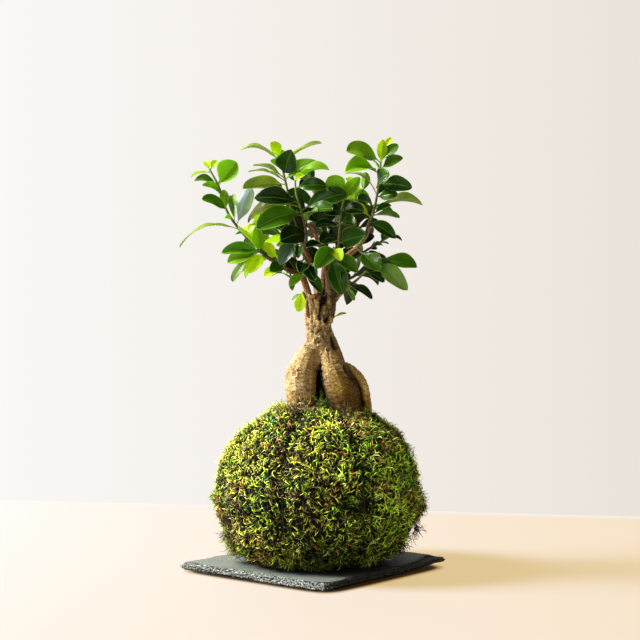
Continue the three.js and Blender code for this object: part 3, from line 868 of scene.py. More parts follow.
# Where the moss is different, from the place where that begins to where it is full: the thread combs it on
# the right, it is short in the furrows and flat before the roots, dark gaps part the tufts, and the ball is
# slimmer low on the right
mossZones = {
    "combed": {
        "x": (10, 55), "front": 20, "pull": 2.4, "longer": 1.6, "bend": 0.15,
        "sway": 3.5, "upAndDown": 0.55, "fall": 0.2,
    },
    "furrow": {"relief": (1.2, 3.0), "shorter": 0.3, "deeper": 0.6},
    "roots": {"z": (118, 123), "front": 22, "middle": 19, "half": 42, "shorter": 0.32, "deeper": 1.5},
    "gap": {"reach": (2.9, 4.7), "deeper": 0.9},
    "lowRight": {"x": (34, 60), "z": (50, 32), "deeper": 2.4},
}
# How light the strands are, one by one and tuft by tuft, with painted light and shade by zone and place on
# the ball: shade in the furrows, under other strands, in the gaps, at the foot, far left and over the slate;
# light on the top and the combed right, a little less red on the right, lighter before the roots
mossPaintedLight = {
    "single": (0.2, 1.95, 1.4),
    "tuft": (0.55, 0.9),
    "all": 2.0,
    "roots": 0.5,
    "furrow": -0.75,
    "under": -0.9,
    "gap": -0.6,
    "depthShadeShare": 0.3,
    "footFrom": 6,
    "footReach": (24, 20),
    "foot": 0.5,
    "footRight": (0.16, 5, 45),
    "top": 0.75,
    "combed": (0.5, 0.7, 0.5),
    "right": (-0.05, 0, 0),
    "rightFrom": (-20, 40),
    "left": -0.22,
    "leftFrom": (-28, -68),
    "shadowOverSlate": -0.88,
    "overSlateX": (6, 60, 8),
    "overSlateZ": (19, 13),
}
# Tones by broad patches, by painted light towards the window and the top, and one by one, each with the least
# sum that it takes
mossTones = {
    "patch": 0.9,
    "lit": 0.35,
    "single": 1.0,
    "base": 0.1,
    "steps": [("deep", -9), ("green", -0.38), ("fresh", -0.02), ("lime", 0.42)],
    "toLight": 0.6,
    # Tones by other noises: the noise's limit and the draw's, and straw by its draw alone
    "olive": (0.12, 0.42),
    "rust": (0.28, 0.74),
    "brown": (-0.28, 0.7),
    "straw": 0.05,
    "patchShare": 0.62,
    "patchFall": 0.8,
}
# Patches of another tone on the side towards the viewer: x, z, radius, tone
mossPatches = [
    [-16, 118, 6, "rust"], [-28, 105.5, 5, "rust"], [-54, 72, 4.5, "rust"], [-30, 76, 4, "rust"],
    [14.5, 74, 4, "rust"], [34, 122, 11, "rust"], [-1, 98, 13, "olive"], [-2, 64, 9, "brown"],
    [-37, 16, 7, "rust"], [-62, 41, 8, "brown"], [52, 104, 9, "brown"], [60, 82, 8, "olive"],
    [-20, 128, 7, "olive"], [8, 118, 7, "fresh"], [-60, 62, 7, "brown"], [-46, 30, 7, "brown"],
    [22, 100, 7, "brown"], [-70, 50, 6, "rust"], [-44, 96, 6, "olive"], [66, 108, 8, "brown"],
    [-29, 122.6, 5, "teal"], [-25, 112, 5, "teal"], [-33, 80, 5, "teal"], [-41, 61, 6.5, "teal"],
    # The deep patches low on the front right, at z 20 and 14, are painted shade at the foot of the ball
    [-64, 60, 4, "teal"], [16, 134, 6, "deep"], [20, 20, 12, "deep"], [44, 14, 9, "deep"],
    [-8, 78, 6, "deep"], [-24, 60, 5, "deep"], [36, 60, 6, "deep"], [80, 50, 6, "brown"],
]
# Places where the ball is slimmer than a round one, this far to the front and back: x, z, radius, depth
dipSide = 45
mossDips = [
    [-44, 129, 9, 4.2], [84, 92, 10, 3.6], [88, 74, 9, 3.6], [89, 63, 7, 2.6], [82, 32, 6, 4.4],
    [-78, 76, 10, 1.6], [-80, 64, 6, 2.2], [-76, 50, 6, 2.0], [-68, 31, 8, 2.8],
]
# Clumps that stick out of the ball: place, strands, spread, lengths, way out and tones
mossClumps = [
    [(90, -8, 53), 130, 9, (5, 9), (0.8, -0.2, -0.5), ("brown", "olive", "rust")],
    [(84, -10, 34), 60, 8, (6, 13), (0.4, -0.1, -0.9), ("brown", "olive", "green")],
    [(-76, -14, 24), 40, 5, (6, 13), (-0.8, -0.1, -0.4), ("olive", "deep", "fresh")],
    [(-70, -22, 20), 170, 8, (5, 9), (-0.6, -0.2, -0.7), ("fresh", "lime", "olive", "green")],
    [(-62, -14, 15), 60, 5, (8, 15), (-0.95, -0.1, -0.1), ("olive", "fresh", "brown")],
    [(72, -14, 19), 70, 7, (6, 11), (0.6, -0.1, -0.6), ("brown", "olive", "deep")],
    [(-82, -8, 60), 40, 3, (5, 8), (-0.9, 0, 0.1), ("fresh", "green")],
    [(46, -58, 17), 60, 8, (7, 11), (0.15, -0.4, -0.8), ("lime", "fresh", "green")],
    [(-20, -66, 13), 150, 10, (6, 10), (0, -0.4, -0.8), ("fresh", "green", "lime")],
    [(-38, -58, 14), 90, 7, (6, 9), (-0.1, -0.4, -0.8), ("rust", "olive", "brown")],
    [(8, -68, 12), 80, 9, (6, 9), (0, -0.4, -0.8), ("green", "deep", "olive")],
    [(57, -16, 127), 50, 6, (6, 10), (0.5, -0.1, 0.8), ("olive", "fresh", "green")],
    [(84, -12, 98), 18, 5, (5, 8), (0.8, 0, 0.5), ("brown", "olive")],
    [(-26, -14, 138), 130, 7, (7, 11), (0.3, 0, 1), ("lime", "fresh", "olive")],
    [(-12, -26, 138), 44, 6, (11, 17), (0.9, -0.3, 0.3), ("straw", "straw", "rust")],
    [(-22, -24, 136), 160, 9, (5, 8), (0.1, -0.2, 0.9), ("lime", "fresh", "olive")],
    [(-14, -30, 136), 70, 7, (5, 9), (0.2, -0.5, 0.6), ("rust", "brown", "straw")],
    [(9, -20, 136), 110, 6, (8, 13), (0, -0.1, 1), ("green", "deep", "fresh")],
    [(30, -34, 131), 90, 9, (5, 8), (0, -0.4, 0.8), ("rust", "olive", "brown")],
]
clumpForm = {
    "depth": -3, "gather": 0.5, "wayAround": 185, "leastRadius": 20, "spreadOut": 0.5, "shortOnes": 1.5,
    "outward": (0.6, 0.8), "bend": (0.5, 1.5), "fall": 0.5, "twist": 1.1, "lowest": 7.2, "thin": 0.8,
    "light": (0.6, 1.3),
}
profileSteps = 400


def drawn(random, limits, count):
    low, high = limits
    return low + (high - low) * random.random(count)


def strandMaster():
    bpy.ops.object.select_all(action="DESELECT")
    bpy.ops.mesh.primitive_cylinder_add(vertices=3, radius=1, depth=1 / 3, location=(0, 0, 1 / 6))
    master = newPiece("strandMaster")
    bpy.ops.object.transform_apply(location=True)
    for face in master.data.polygons:
        face.select = face.normal.z > 0.5
    for edge in master.data.edges:
        edge.select = False
    for corner in master.data.vertices:
        corner.select = corner.co.z > 0.3
    bpy.ops.object.mode_set(mode="EDIT")
    bpy.ops.mesh.extrude_region_move(TRANSFORM_OT_translate={"value": (0, 0, 1 / 3)})
    bpy.ops.mesh.extrude_region_move(TRANSFORM_OT_translate={"value": (0, 0, 1 / 3)})
    bpy.ops.mesh.merge(type="CENTER")
    bpy.ops.object.mode_set(mode="OBJECT")
    return master


def copiesOf(master, name, places):
    count, size = places.shape[:2]
    corners = np.empty(len(master.data.loops), np.int32)
    master.data.loops.foreach_get("vertex_index", corners)
    totals = np.empty(len(master.data.polygons), np.int32)
    master.data.polygons.foreach_get("loop_total", totals)
    starts = np.concatenate([[0], np.cumsum(totals)[:-1]])
    mesh = bpy.data.meshes.new(name)
    mesh.vertices.add(count * size)
    mesh.vertices.foreach_set("co", places.astype(np.float32).ravel())
    mesh.loops.add(count * len(corners))
    shifts = np.arange(count)[:, None]
    mesh.loops.foreach_set("vertex_index", (corners + shifts * size).astype(np.int32).ravel())
    mesh.polygons.add(count * len(totals))
    mesh.polygons.foreach_set("loop_start", (starts + shifts * len(corners)).astype(np.int32).ravel())
    mesh.update(calc_edges=True)
    made = bpy.data.objects.new(name, mesh)
    bpy.context.scene.collection.objects.link(made)
    return made


def unit(rows):
    return rows / np.maximum(np.linalg.norm(rows, axis=1), 1e-9)[:, None]


def alongSurface(rows, normals):
    return rows - normals * np.sum(rows * normals, 1)[:, None]


def areaShares(random, count):
    shares = np.linspace(0.0, 1.0, profileSteps)
    profile = profileAt(shares)
    lengths = np.linalg.norm(np.diff(profile, axis=0), axis=1)
    area = lengths * (profile[1:, 0] + profile[:-1, 0]) / 2
    total = np.concatenate([[0], np.cumsum(area)])
    return np.interp(random.random(count) * total[-1], total, shares)


def insideRoots(places, margin):
    hidden = np.zeros(len(places), bool)
    for limb in roots.values():
        for share in np.linspace(0, 1, 40):
            middle = curvePoint(limb["path"], share)
            hidden |= np.linalg.norm(places - middle, axis=1) < limbRadius(limb, share) + margin
    return hidden


def strandTones(random, places, normals):
    names = np.empty(len(places), object)
    mix = mossTones
    patch = noiseAt(places, (0.05, 0.05, 0.05), 11)
    speck = noiseAt(places, (0.17, 0.17, 0.17), 5)
    warm = noiseAt(places, (0.055, 0.055, 0.07), 23)
    pick = random.random(len(places))
    # Painted light: lighter tones on the side towards the window and on the top
    lit = np.clip(-normals[:, 0] * mix["toLight"] + normals[:, 2] * mix["toLight"], -1, 1)
    bright = mix["patch"] * patch + mix["lit"] * lit + mix["single"] * (pick - 0.5) + mix["base"]
    for name, least in mix["steps"]:
        names[bright > least] = name
    again = random.random(len(places))
    names[(speck > mix["olive"][0]) & (again < mix["olive"][1])] = "olive"
    names[(warm > mix["rust"][0]) & (again > mix["rust"][1])] = "rust"
    names[(warm < mix["brown"][0]) & (again > mix["brown"][1])] = "brown"
    names[again < mix["straw"]] = "straw"
    onFront = places[:, 1] < 0
    for x, z, radius, tone in mossPatches:
        gap = np.hypot(places[:, 0] - x, places[:, 2] - z) / radius
        chance = mix["patchShare"] * np.exp(-(gap**2) * mix["patchFall"])
        names[onFront & (random.random(len(places)) < chance)] = tone
    return np.array([strands["shades"][name] for name in names])


def paintedStrandLight(random, sown, tuftBright):
    light = mossPaintedLight
    x, y, z = sown["place"].T
    least, more, power = light["single"]
    shade = light["all"] * (least + more * random.random((len(x), 1)) ** power)
    least, more = light["tuft"]
    shade *= (least + more * tuftBright)[:, None]
    for zone in ("roots", "furrow", "under", "gap"):
        shade *= gain(sown[zone], light[zone])
    # Painted shade at the foot, deeper on the right, and painted light on the top and on the combed right
    right = fromTo(x, *light["rightFrom"])
    reach, further = light["footReach"]
    height = np.clip((z - light["footFrom"]) / (reach + further * right), 0, 1)
    deep, start, full = light["footRight"]
    darker = light["foot"] + deep * fromTo(x, start, full)
    shade *= (1 - darker * (1 - height))[:, None]
    shade *= gain(np.clip(sown["normal"][:, 2], 0, 1), light["top"])
    shade = shade * (gain(sown["combed"], light["combed"]) + right[:, None] * np.array(light["right"]))
    shade *= gain(fromTo(x, *light["leftFrom"]), light["left"])
    # Painted shadow: the strands over the slate at the front right of the foot are nearly black
    shadowOverSlate = within(x, *light["overSlateX"]) * fromTo(z, *light["overSlateZ"]) * (y < 0)
    return shade * gain(shadowOverSlate, light["shadowOverSlate"])


def strandPaths(place, normal, lean, length, bend, twist):
    path = [place]
    side = unit(np.cross(normal, lean))
    for k, (opened, part) in enumerate(zip(strands["opened"], strands["parts"])):
        angle = (opened * bend)[:, None]
        turned = lean * np.cos(twist * k)[:, None] + side * np.sin(twist * k)[:, None]
        way = normal * np.cos(angle) + turned * np.sin(angle)
        path.append(path[-1] + way * (part * length)[:, None])
    return np.stack(path, 1)


def ringsOf(form):
    return np.round(form[:, 2] * 3).astype(int)


def strandBodies(random, form, path, normal, radius):
    ringOf = ringsOf(form)
    way = unit(path[:, 3] - path[:, 0])
    across = unit(np.cross(way, normal + strands["roll"] * random.normal(size=normal.shape)))
    over = np.cross(way, across)
    thick = radius[:, None] * np.array(strands["taper"])[ringOf]
    return (
        path[:, ringOf]
        + (thick * form[:, 0])[:, :, None] * across[:, None, :]
        + strands["flatness"] * (thick * form[:, 1])[:, :, None] * over[:, None, :]
    )


def finishStrands(master, form, material, letter, bodies, shades):
    piece = copiesOf(master, "mossStrands" + letter, bodies * mm)
    rise = np.array(strands["rise"])[ringsOf(form)]
    # Painted shade near the roots of the strands
    tint = shades[:, None, :] * rise[None, :, None]
    tint /= np.maximum(tint.max(2, keepdims=True) / strands["palest"], 1)
    paintPoints(piece, "mossColour", tint.reshape(-1, 3))
    pickOnly(piece)
    bpy.ops.object.shade_smooth()
    piece.data.materials.append(material)
    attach(piece, "root")


def makeTufts(random):
    count = strands["tufts"]
    share, turn = areaShares(random, count), 360 * random.random(count)
    place, _, _ = mossSurface(share, turn, 0)
    return {"place": place, "lean": random.normal(size=(count, 3)), "bright": random.random(count)}


def combWay(place, normal):
    zone = mossZones["combed"]
    field = zone["sway"] * noiseAt(place, (0.02, 0.02, 0.02), 41)
    around = unit(np.cross(np.array([0, 0, 1.0]), normal))
    down = np.cross(around, normal)
    downwards = zone["upAndDown"] * np.sin(field) + zone["fall"]
    return around * np.cos(field)[:, None] + down * downwards[:, None]


def sowStrands(random, tufts):
    count = strands["perPiece"]
    share, turn = areaShares(random, count), 360 * random.random(count)
    place, normal, relief = mossSurface(share, turn, strands["base"])
    nearest = nearestTuft(place, tufts["place"])
    fromTuft = alongSurface(place - tufts["place"][nearest], normal)
    zone = mossZones["combed"]
    combed = fromTo(place[:, 0], *zone["x"]) * (place[:, 1] < zone["front"])
    outOfTuft, withTuft, alone = strands["lean"]
    lean = outOfTuft * fromTuft + withTuft * tufts["lean"][nearest] + alone * random.normal(size=(count, 3))
    lean += (zone["pull"] * combed)[:, None] * combWay(place, normal)
    place = place - strands["gather"] * random.random((count, 1)) * (1 - combed[:, None]) * fromTuft
    zone = mossZones["roots"]
    beforeRoots = (place[:, 1] < zone["front"]) * (np.abs(place[:, 0] - zone["middle"]) < zone["half"])
    return {
        "place": place,
        "normal": normal,
        "lean": unit(alongSurface(lean, normal)),
        "nearest": nearest,
        "combed": combed,
        "furrow": fromTo(-relief, *mossZones["furrow"]["relief"]),
        "roots": fromTo(place[:, 2], *zone["z"]) * beforeRoots,
        "gap": fromTo(np.linalg.norm(fromTuft, axis=1), *mossZones["gap"]["reach"]),
    }


def strandLengths(random, sown):
    count = strands["perPiece"]
    length = drawn(random, strands["length"], count) + mossZones["combed"]["longer"] * sown["combed"]
    loose = random.random(count) < strands["looseShare"]
    length[loose] = drawn(random, strands["looseLength"], loose.sum())
    for zone in ("furrow", "roots"):
        length *= 1 - mossZones[zone]["shorter"] * sown[zone]
    return length, loose


def strandDepths(sown):
    x, y, z = sown["place"].T
    zones = mossZones
    uneven = strands["underDepth"] * sown["under"] + zones["gap"]["deeper"] * sown["gap"]
    depth = zones["roots"]["deeper"] * sown["roots"] + uneven * (1 - sown["roots"])
    lowRight = fromTo(x, *zones["lowRight"]["x"]) * fromTo(z, *zones["lowRight"]["z"])
    depth += zones["lowRight"]["deeper"] * lowRight + zones["furrow"]["deeper"] * sown["furrow"]
    for dipX, dipZ, radius, dip in mossDips:
        gap = np.hypot(x - dipX, z - dipZ) / radius
        depth += dip * np.exp(-(gap**2)) * (np.abs(y) < dipSide)
    return depth


def outsideRoots(path):
    return ~(insideRoots(path[:, 1], 0.1) | insideRoots(path[:, 3], 0.2))


def makeStrands():
    random = np.random.default_rng(7)
    master = strandMaster()
    form = pointsOf(master)
    tufts = makeTufts(random)
    material = strandMaterial()
    count = strands["perPiece"]
    for letter in strands["pieces"]:
        sown = sowStrands(random, tufts)
        length, loose = strandLengths(random, sown)
        sown["under"] = random.random(count) < strands["underShare"]
        sown["place"] = sown["place"] - sown["normal"] * strandDepths(sown)[:, None]
        bend = drawn(random, strands["bend"], count)
        bend += mossZones["combed"]["bend"] * sown["combed"] + strands["looseBend"] * loose
        twist = random.normal(size=count) * strands["twist"]
        path = strandPaths(sown["place"], sown["normal"], sown["lean"], length, bend, twist)
        radius = drawn(random, strands["thickness"], count)
        radius[loose] *= strands["looseThin"]
        keep = outsideRoots(path) & (path[:, :, 2].min(1) > strands["lowest"])
        shade = strandTones(random, sown["place"], sown["normal"])
        # A share of the strands under the others take a dark tone: painted shade deep in the moss
        shade[sown["under"] & (random.random(count) < mossPaintedLight["depthShadeShare"])] = strands["shades"]["depthShade"]
        shade *= paintedStrandLight(random, sown, tufts["bright"][sown["nearest"]])
        bodies = strandBodies(random, form, path, sown["normal"], radius)
        finishStrands(master, form, material, letter, bodies[keep], shade[keep])
    makeClumps(random, master, form, material)
    bpy.data.objects.remove(master)


def makeClumps(random, master, form, material):
    bodies, shades = [], []
    profile = profileAt(np.linspace(0, 1, profileSteps))
    clump = clumpForm
    for at, count, spread, lengths, way, clumpTones in mossClumps:
        flat = np.array([math.hypot(at[0] - ball["x"], at[1]), at[2]])
        share = np.argmin(np.linalg.norm(profile - flat, axis=1)) / (profileSteps - 1)
        turn = math.degrees(math.atan2(at[1], at[0] - ball["x"]))
        across = spread * random.normal(size=(count, 2)) * clump["gather"]
        shares = np.clip(share + across[:, 0] / clump["wayAround"], 0.001, 0.999)
        turns = turn + np.degrees(across[:, 1] / max(flat[0], clump["leastRadius"]))
        place, normal, _ = mossSurface(shares, turns, clump["depth"])
        lean = unit(np.array(way) + clump["spreadOut"] * random.normal(size=(count, 3)))
        low, high = lengths
        length = low + (high - low) * random.random(count) ** clump["shortOnes"]
        start = unit(clump["outward"][0] * normal + clump["outward"][1] * lean)
        bend = drawn(random, clump["bend"], count)
        falling = unit(alongSurface(lean, start) + clump["fall"] * random.normal(size=(count, 3)))
        twist = random.normal(size=count) * clump["twist"]
        path = strandPaths(place, start, falling, length, bend, twist)
        path[:, :, 2] = np.maximum(path[:, :, 2], clump["lowest"])
        keep = outsideRoots(path)
        radius = clump["thin"] * drawn(random, strands["thickness"], count)
        bodies.append(strandBodies(random, form, path, start, radius)[keep])
        picks = random.integers(0, len(clumpTones), count)
        shade = np.array([strands["shades"][clumpTones[k]] for k in picks])
        shades.append((shade * drawn(random, clump["light"], (count, 1)))[keep])
    finishStrands(master, form, material, "Clumps", np.concatenate(bodies), np.concatenate(shades))


def nearestTuft(places, centres):
    found = np.empty(len(places), int)
    batch = 2000
    for start in range(0, len(places), batch):
        part = places[start:start + batch]
        gaps = np.sum((part[:, None] - centres[None]) ** 2, 2)
        found[start:start + batch] = np.argmin(gaps, 1)
    return found


def strandMaterial():
    material, shader = newMaterial("mossStrand")
    tint = painted(material, "mossColour")
    coat(material, shader, {"Base Color": tint, "Roughness": 0.55, "Specular IOR Level": 0.35})
    letThrough(material, shader, tint, 0.25)
    return material


makeStrands()
print("moss strands made")


# Binding thread in the furrows

thread = {
    "radius": 0.35, "lift": -1.9, "topShare": 5 / 16, "bottomShare": 14 / 16,
    "stepsDown": 40, "stepsRound": 160,
}


def threadTube(name, shares, turns, closed):
    path, _, _ = mossSurface(shares, turns, thread["lift"])
    return tubeAlong(name, path * mm, [thread["radius"] * mm] * len(path), closed, roundness=1)


def makeThread():
    windings = []
    down = np.linspace(thread["topShare"], thread["bottomShare"], thread["stepsDown"])
    for column in range(0, ball["columns"], ball["furrowEvery"]):
        turn = np.full(thread["stepsDown"], 360 * column / ball["columns"] + ball["turn"])
        windings.append(threadTube("windingDown", down, turn, False))
    around = np.linspace(0, 360, thread["stepsRound"], endpoint=False)
    for share in (thread["topShare"], thread["bottomShare"]):
        windings.append(threadTube("windingRound", np.full(thread["stepsRound"], share), around, True))
    pickOnly(*windings)
    bpy.ops.object.join()
    winding = newPiece("bindingThread")
    material, shader = newMaterial("waxedThread")
    twist = grain(material, objectPlace(material, (1, 1, 3)), 900)
    coat(material, shader, {
        "Base Color": ramp(material, twist, [(0.4, colour(20, 26, 10)), (0.6, colour(40, 46, 18))]),
        "Roughness": 0.6,
    })
    winding.data.materials.append(material)
    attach(winding, "root")
    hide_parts("binding_thread")


makeThread()
print("thread made")


def paintSoil():
    material, shader = newMaterial("wetClaySoil")
    where = objectPlace(material)
    clay = [(0.35, colour(28, 20, 13)), (0.7, colour(62, 46, 30))]
    coat(material, shader, {
        "Base Color": ramp(material, grain(material, where, 160, 6), clay),
        "Roughness": 0.9,
        "Normal": bump(material, grain(material, where, 400), 0.6, 0.002),
    })
    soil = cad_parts["soil_ball"]
    soil.data.materials.clear()
    soil.data.materials.append(material)


paintSoil()


# Trunk with its swollen roots

trunk = {
    "voxel": 0.8, "smooth": 5, "fineSteps": 40, "darkest": 0.18, "palest": 1.5,
    "stoutTo": 216, "stoutOver": 60, "leastStout": 0.12, "morePebbles": 0.2, "rough": (180, 234, 12),
}
# The rear root swings out a little, and wood closes the gap behind the front lobes
lookWood = {
    "leftRoot": {
        "path": roots["leftRoot"]["path"],
        "radii": [3, 8, 11.8, 13.2, 13.2, 10.6, 6.8, 6],
    },
    "rearRoot": {
        "path": [[46, 17, 96], [43, 16, 120], [41, 15, 136], [39.5, 14, 146], [35.5, 12.5, 154.5],
                 [29, 10, 160.5], [20, 6, 163]],
        "radii": [4, 8.4, 9, 9, 9, 9, 9],
    },
    "web": {"path": [[9, 9, 112], [8.5, 8, 140], [7, 6, 160], [6, 4, 174]], "radii": [7, 8.5, 9, 8]},
}
# Relief of the bark: height, how strongly it is also painted as light and shade (lows darker, highs lighter),
# stretch and shift of its noise
barkRelief = {
    "lumps": (1.1, 0, (0.06, 0.06, 0.045), 2),
    "wrinkles": (0.4, 0.9, (0.1, 0.1, 0.55), 6),
    "pebbles": (0.34, 0.8, (0.45, 0.45, 0.6), 9),
    "plates": (0.8, 1, (0.3, 0.3, 0.16), 14),
    "grit": (0.5, 1, (0.7, 0.7, 0.5), 17),
}
# Knots on the bark that faces the viewer: x, z, radius, height of the rim, depth of the hole
knots = [
    [12.3, 204.8, 3.8, 1.5, 5.0],
    [5.4, 187.4, 3.7, 1.1, 0.4],
    [5.9, 187.0, 1.7, 1.2, 0.9],
    [13.8, 180.5, 2.3, 0.9, 0.4],
    [18.6, 196.2, 2.2, 0.9, -0.9],
    [-14, 161, 3.0, 0.35, 0.2],
]
# Over a knot's radius: its rim's middle and width, where its hole begins and is full, and the ring between
knotForm = {
    "rim": (0.95, 0.3), "hole": (0.85, 0.55), "ring": (0.58, 0.17),
    # The hole gets painted shade, and the rim a painted highlight on its lower left, towards the light
    "holeShade": 0.98, "rimLight": 0.9, "ringShade": -0.5,
}
# Cracks from x, z to x, z: half width, depth and the darkness of their painted shade
cracks = [
    [(-4.0, 220), (-3.0, 207), 0.85, 2.6, 0.95],
    [(10.6, 228), (9.4, 219), 1.5, 4.0, 0.97],
    [(9.4, 219), (6.6, 206.5), 1.3, 3.6, 0.97],
    [(-2.4, 198), (3.4, 193.6), 0.55, 1.1, 0.75],
    [(3.4, 193.6), (8.2, 197.8), 0.55, 1.1, 0.75],
    [(17.6, 190.6), (19.6, 183), 2.0, 3.6, 0.98],
    [(5.9, 168.5), (6.5, 162), 0.9, 2.6, 0.96],
    [(6.5, 164), (6.9, 156), 1.5, 0.5, 0.98],
    [(6.9, 156), (7.6, 144), 2.5, 0.5, 0.98],
    [(5.9, 168.5), (5.0, 180), 1.5, 1.4, 0.3],
    [(28.4, 168), (34.3, 158), 1.7, 3.8, 0.95],
    [(34.3, 158), (39.6, 149.5), 1.6, 3.5, 0.95],
    [(39.6, 149.5), (41.3, 133), 1.9, 4.5, 0.95],
    [(1.5, 222), (0.5, 203), 0.6, 1.2, 0.5],
    [(13, 180), (15, 171), 0.7, 0.9, 0.4],
    [(8, 200), (10, 190), 0.7, 1.0, 0.5],
]
# Where the wood is darker, lighter or redder, partly as painted shade: which side, from where to where in x
# and z and how softly, and how much each colour changes
far = 999
barkZones = {
    # Painted shade on the side away from the window, and on the side towards it, to flatten the window's
    # light
    "shade side": ["shaded", (-far, far, 1), (-far, 232, 10), (-0.3, -0.38, -0.52)],
    "window side": ["toWindow", (-far, far, 1), (-far, far, 1), -0.38],
    "neck": ["facing", (-far, far, 1), (176, 206, 8), -0.31],
    "stump": ["facing", (-4, 9, 1.5), (204, 223, 4), (0.55, 0.7, 1.0)],
    "pink strip": ["facing", (-8, -3.6, 1), (200, 223, 3), (0.12, -0.22, -0.22)],
    "sawn top": ["all", (-2.5, 8.5, 1.5), (220, 229, 2.5), (-0.4, -0.6, -0.66)],
    "upper left": ["all", (-far, 8, 3), (225, far, 6), (-0.3, -0.42, -0.45)],
    # Painted shade on the branches in the crown, darkest on the back-lit left branch
    "left branch": ["all", (-far, -2, 6), (236, far, 8), -0.62],
    "branches": ["all", (-far, far, 1), (226, far, 10), (-0.18, -0.42, -0.5)],
    # The front lobe is darker and oranger, partly its own bark and partly painted shade
    "front lobe": ["near", (9, 60, 8), (-far, 180, 22), (-0.62, -0.7, -0.98)],
    "rear root": ["behind", (26, 80, 5), (-far, 174, 6), (1.0, 1.3, 0.7)],
}
# Painted shade in the gap between the lobes, on its walls and on the wood behind it, wider further down
lobeGapShade = {
    "x": 6.8, "half": 0.9, "wider": 0.19, "top": 169,
    "walls": (-13, 9, 3), "wallShade": -0.95, "behind": (-10.8, -8.3), "rear": 12, "behindShade": -0.96,
}
# The young stem on the right is mottled, and a pale lip runs along its left edge
youngStem = {
    "x": (9.5, 24, 1.5), "z": (203, 209), "least": 0.8, "mottling": 0.6, "shade": (0.42, 0.42, 0.4),
    "lipZ": [206, 219, 226], "lipX": [8.8, 11.4, 12.4],
    "lipHalf": 0.9, "lipEnds": (207, 224, 3), "lipLight": 0.9,
}
# Streaks run along the upper wood, and soil clings to the foot of the roots
streaks = {"z": (198, 228, 6), "light": 1.1}
clinging = {"top": 147, "uneven": 6, "soft": 9, "shade": (-0.3, -0.42, -0.58)}
# The sawn top of the stump is dark and sunk in
sawnTop = {"z": (221, 230), "right": 11, "upward": 0.5, "shade": 0.12, "depth": 0.8}


def limbTube(name, limb):
    count = trunk["fineSteps"]
    path = np.array(finePath(limb["path"], count))
    radii = [limbRadius(limb, share) * mm for share in np.linspace(0, 1, count)]
    return tubeAlong(name, path * mm, radii, roundness=4)


def trunkBody():
    tubes = [limbTube(name, limb) for name, limb in {**roots, **limbs, **lookWood}.items()]
    pickOnly(*tubes)
    bpy.ops.object.join()
    wood = newPiece("figTrunk")
    finishWith(wood, "REMESH", mode="VOXEL", voxel_size=trunk["voxel"] * mm)
    finishWith(wood, "SMOOTH", factor=0.5, iterations=trunk["smooth"])
    return wood


def bell(values, middle, width):
    return np.exp(-(((values - middle) / width) ** 2))


def barkSurface(places, grains):
    z = places[:, 2]
    stout = np.clip((trunk["stoutTo"] - z) / trunk["stoutOver"], trunk["leastStout"], 1)
    rough = within(z, *trunk["rough"])
    pebbly = np.clip(stout + trunk["morePebbles"], 0, 1)
    presence = {"lumps": stout, "wrinkles": stout, "pebbles": pebbly, "plates": rough, "grit": rough}
    # The relief is painted into the tint as light and shade too: lows darker, highs lighter
    height, shade = np.zeros(len(z)), np.ones(len(z))
    for name, (high, shading, _, _) in barkRelief.items():
        relief = high * grains[name] * presence[name]
        height += relief
        shade += shading * relief
    return height, np.repeat(np.clip(shade, trunk["darkest"], trunk["palest"])[:, None], 3, 1)


def carveMarks(flat, facing, height, tint):
    for x, z, radius, raised, depth in knots:
        gap = np.hypot(flat[:, 0] - x, flat[:, 1] - z) / radius
        rim = facing * bell(gap, *knotForm["rim"])
        hole = facing * fromTo(gap, *knotForm["hole"])
        ring = facing * bell(gap, *knotForm["ring"])
        height += raised * rim - depth * hole
        # Painted highlight on the rim's lower left, towards the light, and painted shade in the hole
        toLight = np.clip(0.5 - (flat[:, 0] - x + flat[:, 1] - z) / radius, 0, 1)
        tint *= gain(hole, -knotForm["holeShade"] * min(max(depth / 2, 0), 1))
        tint *= gain(rim * toLight, knotForm["rimLight"]) * gain(ring, knotForm["ringShade"])
    for start, end, half, depth, dark in cracks:
        start, end = np.array(start, float), np.array(end, float)
        way = end - start
        share = np.clip((flat - start) @ way / (way @ way), 0, 1)
        gap = np.linalg.norm(flat - start - share[:, None] * way, axis=1) / half
        # Painted shade in the cracks
        cut = np.exp(-((0.9 * gap) ** 3)) * facing
        height -= depth * cut
        tint *= gain(cut, -dark)


